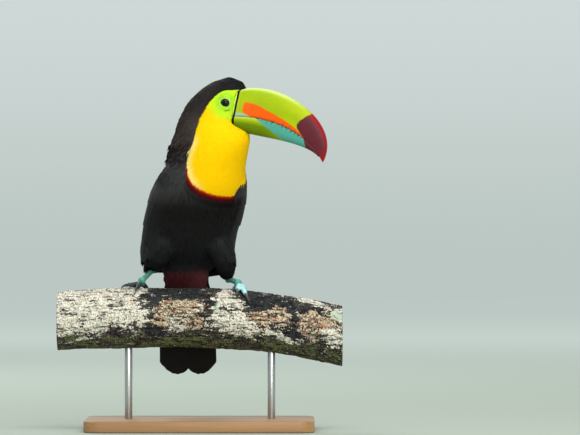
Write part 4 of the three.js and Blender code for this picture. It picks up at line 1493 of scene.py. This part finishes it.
def bill_width(way):
    """Half the width of the bill at a share of its length."""
    return bill_half_width * (1 - way) ** 0.62 * (1 - 0.22 * np.sin(np.pi * way)) + 0.5


def notches(way, count):
    """Small notches that lean forward along a cutting edge, deepest in its middle."""
    phase = (way * count) % 1
    return np.exp(-((phase - 0.8) / 0.16) ** 2) * ease(0.1, 0.3, way) * ease(0.86, 0.7, way)


def bill_half(edge, end, fullness):
    """One half of the bill, between the mouth line and its outer edge. Gives its mesh, the way along and
    the share of its height of every point."""
    def place(u, v):
        way = np.clip((v - 0.02) / 0.98, 0, 1) ** 1.15 * end
        low, high = bezier(mouth, way), bezier(edge, way)
        rise = high - low
        height = np.linalg.norm(rise, axis=1)
        rise = rise / np.maximum(height, 0.01)[:, None]
        half = bill_width(way) - 0.12
        half = half * np.where(v < 0.015, 0.0, 1.0)
        closing = np.sqrt(np.clip((1 - v) / 0.012, 0, 1))
        outside = u < 0.8
        angle = np.pi * np.where(outside, u / 0.8, 0.5)
        across = np.sign(np.cos(angle)) * np.abs(np.cos(angle)) ** fullness
        across = np.where(outside, across, -1 + 2 * (u - 0.8) / 0.2)
        lift = np.where(outside, np.sin(angle) ** fullness, 0.0)
        bite = 0.32 * notches(way, 15) * np.exp(-(lift * height / 1.1) ** 2)
        inward = 0.9 * np.clip(1 - across ** 2, 0, 1) * np.where(outside, 0, 1) * ease(1.0, 0.9, v)
        raised = mouth_gap + bite + inward + (height - mouth_gap - 0.1) * lift
        raised = raised * np.where(v < 0.015, 0.3, 1.0) * closing
        back = np.where(v < 0.015, bill_root, 0.0)
        tuck = 1 - 0.4 * np.where(v < 0.03, (0.03 - v) / 0.03, 0)
        spot = low + rise * raised[:, None]
        return head_place(spot[:, 0] - back, spot[:, 1], across * half * closing * tuck)
    mesh, u, v = wrapped(120, 230, place, 0.004)
    way = np.clip((v - 0.02) / 0.98, 0, 1) ** 1.15 * end
    angle = np.pi * np.clip(u / 0.8, 0, 1)
    share = np.where(u < 0.8, np.sin(angle) ** fullness, 0.0)
    return mesh, way, share


# %% [markdown]
# ## The colours of the bill
# The upper half is lime green with an orange blade along its cutting edge, and the lower half runs from
# olive into sky blue. Both end in a wine-red tip, and a black line closes the base. Each zone is painted
# on the points as a distance to its edge in millimetres, so that the finish can cut a clean and slightly
# uneven edge at any closeness.

# %% Zones of the bill
def cut_by(height, *pairs):
    """A smooth edge through a few given pairs of height and way."""
    heights, ways = zip(*pairs)
    return np.interp(height, heights, ways)


# The black line round the base, as it runs on the right side: across and up, from the crown down in front
# of the eye, past the corner of the mouth and along the keel.
base_turns = np.array([(47.2, 359.3), (42.5, 356.4), (41.05, 353.3), (40.0, 347.6), (38.85, 342.7),
                       (37.45, 335.3), (36.3, 330.0), (35.2, 325.5), (35.0, 318.3), (38.9, 313.9),
                       (45.6, 310.8), (55.0, 308.9)])
turn_number = np.arange(len(base_turns))
base_steps = np.linspace(0, len(base_turns) - 1, 240)
base_line = np.stack([np.interp(base_steps, turn_number, base_turns[:, k]) for k in (0, 1)], 1)
base_run = unit(np.gradient(base_line, axis=0))
base_inward = np.stack([-base_run[:, 1], base_run[:, 0]], 1)
base_half = 1.0


def bill_zones(mesh, way, share, upper):
    """Paints the ground colour of one half and the distance to the edge of each zone."""
    span = 118.0
    edge = culmen if upper else keel
    tall = np.linalg.norm(bezier(edge, way) - bezier(mouth, way), axis=1)
    places = points_of(mesh)
    if upper:
        ground = mixed(lime, lime_yellow, ease(0.22, 0.55, way) * ease(0.35, 0.8, share))
        ground = mixed(ground, olive, ease(0.75, 0.5, share) * ease(0.22, 0.1, way) * 0.5)
        # Painted highlight: paler along the culmen, from the base to past the middle.
        ground = mixed(ground, lime_pale_and_ridge_highlight, ease(0.86, 1.0, share) * ease(0.62, 0.3, way) * 0.75)
        ground = mixed(ground, lime_pale_and_ridge_highlight, ease(0.06, 0.0, way) * 0.35)
        ground = mixed(ground, lime_yellow, ease(0.5, 0.2, share) * ease(0.3, 0.6, way))
        top = cut_by(way, (0.03, 0.48), (0.115, 0.48), (0.21, 0.42), (0.31, 0.31), (0.41, 0.235),
                     (0.51, 0.18), (0.635, 0.11), (0.76, 0.08))
        low = cut_by(way, (0.0, 0.13), (0.11, 0.12), (0.2, 0.03), (0.3, -0.02), (0.8, -0.05))
        sides = np.stack([(top - share) * tall, (share - low) * tall, (way - 0.1) * span], 1)
        orange = -1.4 * np.log(np.exp(-sides / 1.4).sum(1)) + 0.6
        tip = (way - cut_by(share, (0, 0.725), (0.1, 0.655), (0.2, 0.598), (0.31, 0.575), (0.5, 0.572),
                            (0.7, 0.578), (0.95, 0.59))) * span
        blue = np.minimum((0.16 - way) * span, (0.1 - share) * tall) + 0.3
        ticks = ((0.485, 0.21), (0.55, 0.19), (0.40, 0.14), (0.61, 0.12))
    else:
        ground = mixed(olive, olive_dark, ease(0.12, 0.5, share) * ease(0.62, 0.3, way))
        ground = mixed(ground, olive_pale, ease(0.22, 0.05, share))
        orange = np.full(len(way), -9.0)
        tip = (way - 0.715 - 0.028 * share) * span
        blue = (way - 0.225 - 0.31 * share) * span
        ticks = ((0.25, 0.12), (0.30, 0.15), (0.345, 0.2), (0.39, 0.22), (0.44, 0.18), (0.49, 0.3),
                 (0.535, 0.22), (0.58, 0.34), (0.62, 0.26), (0.655, 0.3), (0.69, 0.26))
    teeth = np.full(len(way), -9.0)
    for at, reach in ticks:
        lean = (way - at + 0.05 * share) * span
        taper = 0.75 * (1 - share / reach)
        teeth = np.maximum(teeth, np.where(share < reach, taper - np.abs(lean), -3.0))
    near = np.flatnonzero(way < 0.3)
    along, above, right = head_measure(places[near])
    side_on = head_place(along, above, np.abs(right))[:, [0, 2]]
    gaps = np.linalg.norm(side_on[:, None] - base_line[None], axis=2)
    closest = gaps.argmin(1)
    toward = ((side_on - base_line[closest]) * base_inward[closest]).sum(1)
    base_edge = np.full(len(way), 30.0)
    base_edge[near] = gaps.min(1) * np.sign(toward)
    # A painted rim of light on the red tip, along the culmen and at the very end.
    glow = ease(0.75, 1.0, share) + ease(0.86, 1.0, way)
    glow = np.clip(glow, 0, 1) if upper else ease(0.8, 1.0, way) * 0.6
    zones = {"ground": ground, "orange_zone": orange, "tip_zone": tip, "blue_zone": blue, "glow": glow,
             "teeth_zone": teeth, "base_zone": base_edge, "mouth_zone": share * tall}
    for name, values in zones.items():
        paint(mesh, name, values)


lime = colour(148, 172, 0)
lime_yellow = colour(166, 184, 0)
# A pale lime: the pale edge at the base of the bill, and a painted highlight along the culmen.
lime_pale_and_ridge_highlight = colour(224, 240, 140)
olive = colour(156, 172, 0)
olive_dark = colour(98, 126, 0)
olive_pale = colour(172, 196, 60)
blade_orange = colour(230, 89, 0)
sky_blue = colour(76, 156, 138)
gape_mint = colour(148, 186, 164)
wine = colour(91, 32, 42)
# A bright red for the painted rim of light on the tip.
wine_rim_light = colour(150, 16, 24)
tooth_teal = colour(28, 84, 90)
base_black = colour(14, 14, 14)
base_rim = colour(206, 224, 60)


def horn(name, is_upper):
    """The finish of one half of the bill."""
    finish, recipe, shader = new_finish(name, Specular_IOR_Level=0.12, Coat_Roughness=0.25, Coat_Weight=0.02)
    ragged = recipe.math("MULTIPLY", recipe.math("SUBTRACT", recipe.noise(recipe.here(), 420.0), 0.5), 1.6)
    streak = recipe.placed(streaks, {"Along": 70.0, "Across": 330.0, "Depth": 0.16})
    cloud = recipe.placed(clouds, {"Scale": 70.0, "Depth": 0.16})

    def zone(label, soft):
        reach = recipe.math("ADD", recipe.painted(label), ragged)
        return recipe.between(reach, -soft, soft)

    shade = recipe.math("MULTIPLY", streak["Shade"], cloud["Shade"])
    tint = recipe.painted("ground", "Color")
    from_line = recipe.painted("base_zone")
    off_line = recipe.math("ABSOLUTE", from_line)
    tint = recipe.laid(
        tint,
        (zone("blue_zone", 1.4), gape_mint if is_upper else sky_blue),
        (zone("orange_zone", 0.7), blade_orange),
        # The wine-red tip, brighter where the painted rim of light lies.
        (zone("tip_zone", 0.7), recipe.mix(recipe.painted("glow"), wine, wine_rim_light)),
        (zone("teeth_zone", 0.35), tooth_teal),
        (recipe.between(from_line, -0.5, 0.0, 1.0, 0.0), base_rim),
        (recipe.between(off_line, base_half - 0.1, base_half + 0.25, 1.0, 0.0), base_black),
        (recipe.between(recipe.painted("mouth_zone"), 0.1, 0.5, 0.55, 0.0), colour(92, 84, 96)))
    recipe.dress(shader, recipe.shaded(tint, shade),
                 recipe.between(streak["Height"], 0.3, 0.7, 0.34, 0.46),
                 recipe.bump(streak["Height"], 0.22, 0.0002))
    return finish


# %% Both halves of the bill
for name, edge, end, fullness in (("upper", culmen, 1.0, 0.72), ("lower", keel, lower_end, 0.8)):
    bill_mesh, way, share = bill_half(edge, end, fullness)
    bill_zones(bill_mesh, way, share, name == "upper")
    finish = horn(f"bill_{name}_horn", name == "upper")
    finish_piece(f"bill_{name}_sheath", bill_mesh, [finish], [f"bill_{name}"])

# %% [markdown]
# ## The eyes
# The eye is a ball sunk in the head, of which a round window of about nine millimetres shows. Its iris is
# dark olive round a black pupil, under a clear and very glossy cornea. A thin pale lid closes round it, and
# outside that lies a disc of bare skin, lime green and finely wrinkled, that the face feathers frame.

# %% Eyeballs
eye_finish, recipe, shader = new_finish("eye", Specular_IOR_Level=0.12, Coat_Weight=0.16,
                                        Coat_Roughness=0.02)
fibres = recipe.noise(recipe.here(), 1500.0, 4.0)
recipe.join(recipe.between(fibres, 0.3, 0.7, 0.08, 0.14), shader.inputs["Roughness"])
iris = recipe.ramp(fibres, 0.35, 0.65, (15, 20, 12), (38, 48, 27))
axis = recipe.painted("off_axis")
rim = recipe.mix(recipe.between(axis, 3.3, 3.8), iris, colour(22, 26, 20))
pupil = recipe.between(axis, 2.0, 2.25, 1.0, 0.0)
recipe.join(recipe.mix(pupil, rim, colour(2, 2, 2)), shader.inputs["Base Color"])

lid_finish, recipe, shader = new_finish("eye_skin", Specular_IOR_Level=0.18)
wrinkle = recipe.math("SINE", recipe.math("MULTIPLY", recipe.painted("ring_reach"), 11.0))
wrinkle = recipe.math("ADD", wrinkle, recipe.math("MULTIPLY", recipe.noise(recipe.here(), 900.0), 2.2))
cloud = recipe.placed(clouds, {"Scale": 300.0, "Depth": 0.3})["Shade"]
tint = recipe.painted("tint", "Color")
recipe.dress(shader, recipe.shaded(tint, cloud), recipe.between(wrinkle, 0.0, 2.0, 0.5, 0.62),
             recipe.bump(wrinkle, 0.35, 0.00015))

lid_pale = colour(184, 206, 88)
ring_lime = colour(146, 206, 40)
ring_mint = colour(120, 196, 84)
# A dark line of painted shade, for the crease below the eye.
crease_painted_shade = colour(60, 84, 36)
lid_dark = colour(26, 30, 18)
window = 4.45
ring_outer = 8.2
eye_tilt = 0.2


def eye_frame(side):
    """The way the eye looks, a little forward, with the two directions across it: forward and up."""
    out = unit((head_right if side == "right" else -head_right) + eye_tilt * bill_ahead)
    return out, unit(bill_ahead - out * (bill_ahead @ out)), bill_up


def lid_ring(side):
    """The lid and the bare disc as one closed ring, from the window to under the face feathers."""
    out, ahead, above = eye_frame(side)
    centre = eye_centre[side]

    def place(u, v):
        angle = 2 * np.pi * u
        over = v < 0.8
        share = np.where(over, v / 0.8, (1 - v) / 0.2)
        reach = window + (ring_outer - window) * share
        flat = ahead * (reach * np.cos(angle))[:, None] + above * (reach * np.sin(angle))[:, None]
        spots = centre + flat
        ball = np.sqrt(np.maximum((eye_radius + 0.12) ** 2 - reach ** 2, 4.0))
        skin_reach = np.empty(len(u))
        for number, spot in enumerate(spots):
            hit = skin.tree.ray_cast(spot + 30 * out, -out, 40.0)
            skin_reach[number] = (hit[0] - Vector(spot)) @ Vector(out) if hit[0] is not None else 4.0
        lip = 0.3 * np.exp(-((reach - window - 0.4) / 0.35) ** 2)
        beyond = reach - window
        fold = 0.06 * np.sin(beyond * 5.2 + 0.7 * np.sin(3 * angle)) * ease(0.8, 2.0, beyond)
        surface = mixed(ball[:, None], (skin_reach + 0.5)[:, None], ease(window, window + 3.2, reach))[:, 0]
        surface = np.maximum(surface, ball)
        sunk = ease(ring_outer - 2.0, ring_outer, reach) * 0.9
        height = surface + np.where(over, lip + fold - sunk, -0.9 - sunk)
        return spots + out * height[:, None]

    mesh, u, v = wrapped(96, 40, place, 0.0005)
    over = v < 0.8
    reach = window + (ring_outer - window) * np.where(over, v / 0.8, (1 - v) / 0.2)
    angle = 2 * np.pi * u
    tint = mixed(lid_pale, ring_lime, ease(window + 0.7, window + 1.4, reach))
    tint = mixed(tint, ring_mint, ease(0.2, -0.9, np.sin(angle)) * ease(5.2, 6.2, reach))
    tint = mixed(tint, lore_green, ease(6.8, 8.0, reach))
    # Painted shade: a dark crease in the bare skin below the eye.
    low = ease(6.4, 6.9, reach) * ease(8.1, 7.5, reach) * ease(-0.75, -0.93, np.sin(angle + 0.35))
    tint = mixed(tint, crease_painted_shade, low * 0.9)
    dark_rim = ease(window + 0.3, window + 0.08, reach)
    tint = mixed(tint, lid_dark, dark_rim)
    paint(mesh, "tint", tint)
    paint(mesh, "ring_reach", reach)
    return mesh


def eyeball(side):
    """The ball, with a slightly raised cornea in its window."""
    out, ahead, above = eye_frame(side)

    def place(u, v):
        angle, fall = 2 * np.pi * u, np.pi * v
        bulge = eye_radius - 0.05 + 0.35 * np.exp(-(fall / 0.5) ** 2)
        across = ahead * np.cos(angle)[:, None] + above * np.sin(angle)[:, None]
        arrows = out * np.cos(fall)[:, None] + across * np.sin(fall)[:, None]
        return eye_centre[side] + arrows * bulge[:, None]

    mesh, u, v = wrapped(64, 48, place, 0.001)
    paint(mesh, "off_axis", eye_radius * np.sin(np.minimum(np.pi * v, np.pi / 2)))
    return mesh


for side in ("left", "right"):
    finish_piece("eyeball_" + side, eyeball(side), [eye_finish], ["eye_" + side])
    finish_piece("lid_" + side, lid_ring(side), [lid_finish], ())

# %% [markdown]
# ## The branch
# The branch is old: charcoal bark broken into long plates, grown over with cream and white crusts of
# lichen, a few rusty bits, and olive moss where the wet collects beneath. Its round is a grid wrapped on
# the model's own branch. Plates, cracks and crusts are real relief up to three millimetres deep, and the
# same masks colour it.

# %% Bark relief
bark_half = 32
bark_end = 0.012
ray_angles = np.radians(np.arange(0, 360, 7.5))
perch_tree = surface_of("perch").tree
ray_x = np.linspace(perch_low[0] + 0.5, perch_high[0] - 0.5, 31)
perch_reach = np.empty((len(ray_x), len(ray_angles)))
for row, x in enumerate(ray_x):
    start = perch_middle(np.array([x]))[0]
    for column, angle in enumerate(ray_angles):
        arrow = Vector((0, -math.sin(angle), math.cos(angle)))
        perch_reach[row, column] = perch_tree.ray_cast(start, arrow)[3]


def bark_radius(x, angle):
    """The model's own radius at a place along the branch and an angle from its top toward the front."""
    column = (angle / (2 * np.pi) % 1) * len(ray_angles)
    first = np.floor(column).astype(int) % len(ray_angles)
    share = column - np.floor(column)
    row = np.clip((x - ray_x[0]) / (ray_x[1] - ray_x[0]), 0, len(ray_x) - 1.001)
    low = row.astype(int)
    way = row - low
    second = (first + 1) % len(ray_angles)
    near = perch_reach[low, first] * (1 - share) + perch_reach[low, second] * share
    far = perch_reach[low + 1, first] * (1 - share) + perch_reach[low + 1, second] * share
    return near * (1 - way) + far * way


def layered(places, size, seed, octaves=3):
    """Noise in layers, each half the size and strength of the last, from about -1 to 1."""
    shift = Vector((seed * 13.1, seed * 7.7, seed * 3.3))
    shifted = [Vector(place) / size + shift for place in places.tolist()]
    return np.array([noise.fractal(place, 0.75, 2.1, octaves) for place in shifted])


# Crusts and bare plates, listed: x along the branch, degrees from the top toward the front, and reach.
cream_spots = ((-140, 30, 30), (-118, 62, 34), (-96, 26, 24), (-78, 70, 22), (-122, 100, 30), (-60, 88, 12),
               (-66, 20, 14), (14, 58, 10), (28, 40, 13), (24, 78, 10), (33, 60, 12), (36, 100, 16),
               (52, 106, 12), (-8, 72, 8), (92, 112, 16), (126, 32, 12), (100, 70, 8), (-30, 102, 12),
               (62, 62, 7), (140, 96, 12), (112, 12, 12))
dark_spots = ((-18, 40, 24), (-40, 30, 12), (-52, 52, 9), (-45, 104, 14), (74, 50, 26), (96, 88, 16),
              (58, 20, 18), (118, 60, 14), (0, 98, 9), (8, 60, 6))
mottled_spots = ((-26, 78, 17), (-8, 84, 16), (-40, 90, 12), (62, 88, 12), (120, 82, 18), (138, 60, 12),
                 (84, 76, 12), (44, 90, 10), (-2, 66, 9))
round_lichen = ((144, 48, 8), (17, 72, 4))


def spots(x, angle, marks, bend):
    """How deep inside the nearest of some round marks each place is, in millimetres."""
    depth = np.full(len(x), -60.0)
    for at, degrees, reach in marks:
        turn = (angle - math.radians(degrees) + np.pi) % (2 * np.pi) - np.pi
        depth = np.maximum(depth, reach - np.hypot(x - at, bark_half * turn) + bend)
    return depth


def bark_place(u, v):
    """The bark's surface and the masks that colour it."""
    inside = np.clip((v - bark_end) / (1 - 2 * bark_end), 0, 1)
    x = perch_low[0] + 0.4 + (perch_high[0] - perch_low[0] - 0.8) * inside
    angle = 2 * np.pi * u
    ring = np.stack([x, -bark_half * np.sin(angle), bark_half * np.cos(angle)], 1)
    long_ring = ring * np.array([0.42, 1, 1])
    bend = 6 * layered(ring, 15.0, 1) + 3 * layered(ring, 5.0, 2, 2)
    cream = ease(-5, 5, spots(x, angle, cream_spots, bend))
    dark = ease(-4, 4, spots(x, angle, dark_spots, bend))
    mottled = ease(-5, 5, spots(x, angle, mottled_spots, bend))
    under = ease(100, 140, np.degrees(angle)) * ease(300, 250, np.degrees(angle))
    cream = np.maximum(cream, 0.36 + 0.3 * layered(ring, 22.0, 4, 2)) * (1 - 0.9 * dark) * (1 - 0.6 * under)
    moss = under * ease(-0.5, 0.3, layered(long_ring, 7.0, 9))
    disc = ease(-0.6, 0.6, spots(x, angle, round_lichen, 0.2 * bend))
    plates = np.abs(layered(long_ring, 9.0, 10))
    # The cracks, sunk in the relief, are also painted near black below: dark bark and painted shade.
    crack = ease(0.1, 0.0, plates) * (1 - 0.5 * cream)
    lumps = layered(ring, 3.4, 6)
    fine = layered(long_ring, 2.6, 11)
    sink = 0.75 + 1.5 * crack + 0.45 * np.clip(-fine, -1, 1) - 0.4 * cream
    sink = sink - 0.5 * mottled * np.clip(lumps, 0, 1)
    sink = sink - 0.4 * disc + 0.6 * ease(0.3, 0.8, plates) + 0.35 * moss * layered(ring, 1.6, 12)
    closing = np.clip(np.minimum(v, 1 - v) / bark_end, 0, 1)
    reach = (bark_radius(x, angle) - np.clip(sink, -0.35, 3.2)) * closing
    out = np.stack([0 * x, -np.sin(angle), np.cos(angle)], 1)
    masks = {"cream": cream, "dark": dark, "mottled": mottled, "moss": moss, "disc": disc, "crack": crack,
             "cut": ease(0.97, 0.9, closing), "ring_reach": reach}
    return perch_middle(x) + out * reach[:, None], masks


# %% Bark finish
bark_finish, recipe, shader = new_finish("bark", Specular_IOR_Level=0.2)
here = recipe.here()
long_here = recipe.stretched(here, (0.45, 1, 1))
blotch = recipe.noise(long_here, 210.0, 6.0, 0.62)
crumb = recipe.noise(here, 620.0, 5.0, 0.68)
speckle = recipe.noise(here, 1500.0, 3.0, 0.7)
hue = recipe.noise(here, 130.0, 3.0, 0.6)
ridge = recipe.noise(recipe.stretched(here, (0.16, 1, 1)), 420.0, 5.0, 0.65)


def bark_mask(label, ragged, low=0.46, high=0.56):
    """A painted mask, cut off with an edge that blotches, and then crumbs, make uneven."""
    uneven = recipe.math("SUBTRACT", recipe.math("ADD", blotch, recipe.math("MULTIPLY", crumb, 0.7)), 0.85)
    reach = recipe.math("MULTIPLY_ADD", uneven, ragged, recipe.painted(label))
    return recipe.between(reach, low, high)


bark_tint = recipe.ramp(crumb, 0.38, 0.62, (30, 29, 29), (82, 76, 70))
slate = recipe.ramp(crumb, 0.42, 0.66, (28, 29, 31), (70, 71, 72))
lichen = recipe.laid(
    recipe.ramp(crumb, 0.38, 0.56, (132, 122, 104), (236, 231, 214)),
    (recipe.between(hue, 0.54, 0.7, 0.0, 0.4), colour(220, 184, 158)),
    (recipe.between(hue, 0.34, 0.46, 0.5, 0.0), colour(206, 214, 196)))
tan = recipe.mix(recipe.between(hue, 0.55, 0.64, 0.0, 0.7),
                 recipe.ramp(crumb, 0.4, 0.6, (116, 92, 68), (224, 206, 174)), colour(166, 98, 74))
mossy = recipe.mix(recipe.between(speckle, 0.56, 0.68),
                   recipe.ramp(crumb, 0.4, 0.62, (36, 38, 20), (120, 128, 82)), colour(190, 188, 158))
crust = bark_mask("cream", 3.2, 0.5, 0.62)
bark_tint = recipe.laid(
    bark_tint,
    (recipe.between(speckle, 0.56, 0.7, 0.0, 0.8), colour(146, 138, 122)),
    (bark_mask("dark", 0.7), slate),
    (bark_mask("mottled", 3.8, 0.62, 0.74), tan),
    (crust, lichen),
    (bark_mask("moss", 1.6), mossy),
    (bark_mask("disc", 0.3), colour(190, 204, 180)),
    # Near black in the fine furrows and the cracks: dark bark and painted shade in these recesses.
    (recipe.between(ridge, 0.4, 0.46, 0.9, 0.0), colour(20, 18, 16)),
    (recipe.painted("crack"), colour(18, 16, 15)))
rings = recipe.math("SINE", recipe.math("MULTIPLY", recipe.painted("ring_reach"), 3.6))
sawn = recipe.ramp(rings, -1.0, 1.0, (168, 138, 100), (206, 180, 142))
raised = recipe.math("MULTIPLY_ADD", crumb, 0.8, recipe.math("MULTIPLY_ADD", crust, 0.5, blotch))
roughened = recipe.bump(raised, 0.9, 0.0011)
recipe.dress(shader, recipe.mix(recipe.painted("cut"), bark_tint, sawn),
             recipe.between(speckle, 0.3, 0.7, 0.84, 0.96), recipe.bump(ridge, 0.8, 0.0012, roughened))

# %% The branch
bark_mesh, u, v = wrapped(216, 380, lambda u, v: bark_place(u, v)[0], 0.01)
for label, mask in bark_place(u, v)[1].items():
    paint(bark_mesh, label, mask)
finish_piece("branch_bark", bark_mesh, [bark_finish], ["perch"])

# %% [markdown]
# ## The stand
# A museum puts such a piece on a plain hardwood plate with two steel rods. The plate is one block with
# rounded corners and a softened rim, the rods are turned and brushed.

# %% Wood and steel finishes
wood_finish, recipe, shader = new_finish("stand_wood", Specular_IOR_Level=0.35, Coat_Weight=0.1)
grain = recipe.placed(streaks, {"Along": 9.0, "Across": 420.0, "Depth": 0.6})
wide = recipe.placed(streaks, {"Along": 3.0, "Across": 60.0, "Depth": 0.8})
wood = recipe.mix(wide["Height"], colour(120, 84, 50), colour(182, 140, 94))
shade = recipe.math("MULTIPLY", grain["Shade"], wide["Shade"])
recipe.dress(shader, recipe.shaded(wood, shade),
             recipe.between(grain["Height"], 0.3, 0.7, 0.42, 0.58),
             recipe.bump(grain["Height"], 0.25, 0.0003))

steel_finish, recipe, shader = new_finish("stand_steel", Metallic=1.0)
brushed = recipe.placed(streaks, {"Along": 1400.0, "Across": 60.0, "Depth": 0.3})
steel = recipe.shaded(colour(186, 188, 190), brushed["Shade"])
recipe.dress(shader, steel, recipe.between(brushed["Height"], 0.3, 0.7, 0.26, 0.4),
             recipe.bump(brushed["Height"], 0.15, 0.0001))

# %% The plate and the rods
plate_corner = 18
plate_rim = 1.6
rod_radius = 4
rod_rim = 0.5


def climb(edge):
    """How much higher one end of an edge is than the other."""
    return abs(edge.verts[0].co.z - edge.verts[1].co.z)


plate_low, plate_high = (np.array(corner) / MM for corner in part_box("stand_base"))
plate_size = plate_high - plate_low
plate = bmesh.new()
bmesh.ops.create_cube(plate, size=1)
bmesh.ops.scale(plate, vec=plate_size, verts=plate.verts)
bmesh.ops.translate(plate, vec=(plate_low + plate_high) / 2, verts=plate.verts)
upright = [edge for edge in plate.edges if climb(edge) > 1]
bmesh.ops.bevel(plate, geom=upright, offset=plate_corner, segments=10, profile=0.5, affect="EDGES",
                material=-1)
rim = [edge for edge in plate.edges if climb(edge) < 0.01
       and len(edge.link_faces) == 2 and any(abs(face.normal.z) < 0.1 for face in edge.link_faces)]
bmesh.ops.bevel(plate, geom=rim, offset=plate_rim, segments=4, profile=0.5, affect="EDGES", material=-1)
finish_piece("stand_plate", mesh_from(plate), [wood_finish], ["stand_base"])

for side in ("left", "right"):
    node = "stand_rod_" + side
    rod_low, rod_high = (np.array(corner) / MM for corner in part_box(node))
    rod = bmesh.new()
    bmesh.ops.create_cone(rod, cap_ends=True, segments=48, radius1=rod_radius, radius2=rod_radius,
                          depth=rod_high[2] - rod_low[2])
    ends = [edge for edge in rod.edges if climb(edge) < 0.01]
    bmesh.ops.bevel(rod, geom=ends, offset=rod_rim, segments=2, profile=0.5, affect="EDGES", material=-1)
    bmesh.ops.translate(rod, vec=(rod_low + rod_high) / 2, verts=rod.verts)
    finish_piece("stand_pillar_" + side, mesh_from(rod), [steel_finish], [node])

# %% [markdown]
# ## The floor and the backdrop
# The floor is one pale sheet that rises behind in a wide curve. Its far edge is lifted and the fold is
# bevelled, as a photographer bends a roll of paper.

# %% One bent sheet
sheet_half = 12.0
sheet_near = 13.0
wall_height = 8
fold_radius = 3.5
sheet = bmesh.new()
bmesh.ops.create_grid(sheet, x_segments=1, y_segments=1, size=1)
for vert in sheet.verts:
    vert.co = (vert.co.x * sheet_half, (vert.co.y + 1) * sheet_half - sheet_near, -0.0002)
far = 2 * sheet_half - sheet_near - 0.1
far_edge = [edge for edge in sheet.edges if all(vert.co.y > far for vert in edge.verts)]
raised = bmesh.ops.extrude_edge_only(sheet, edges=far_edge)["geom"]
raised = [part for part in raised if isinstance(part, bmesh.types.BMVert)]
bmesh.ops.translate(sheet, vec=(0, 0, wall_height), verts=raised)
fold = [edge for edge in sheet.edges if all(vert.co.y > far and vert.co.z < 1 for vert in edge.verts)]
bmesh.ops.bevel(sheet, geom=fold, offset=fold_radius, segments=24, profile=0.5, affect="EDGES", material=-1)
sheet_mesh = mesh_from(sheet, "backdrop")
sheet_mesh.polygons.foreach_set("use_smooth", [True] * len(sheet_mesh.polygons))
paper, recipe, shader = new_finish("backdrop_paper", Specular_IOR_Level=0.1, Emission_Strength=1.0)
place = recipe.add("SeparateXYZ", {0: recipe.here()}).outputs
far_off = recipe.between(place[1], 0.4, 6.5)
paper_tint = recipe.mix(far_off, colour(171, 181, 169), colour(120, 126, 124))
recipe.join(paper_tint, shader.inputs["Base Color"])
lit = recipe.mix(recipe.between(place[2], 0.0, 0.9), colour(164, 174, 169), colour(187, 195, 195))
glow = recipe.between(place[1], 0.3, 4.2)
recipe.join(recipe.mix(glow, colour(0, 0, 0), lit), shader.inputs["Emission Color"])
fibre = recipe.noise(recipe.here(), 2.0)
recipe.join(recipe.between(fibre, 0.3, 0.7, 0.86, 0.94), shader.inputs["Roughness"])
sheet_mesh.materials.append(paper)
backdrop = bpy.data.objects.new("backdrop", sheet_mesh)
bpy.context.scene.collection.objects.link(backdrop)
print("backdrop of", len(sheet_mesh.polygons), "faces")
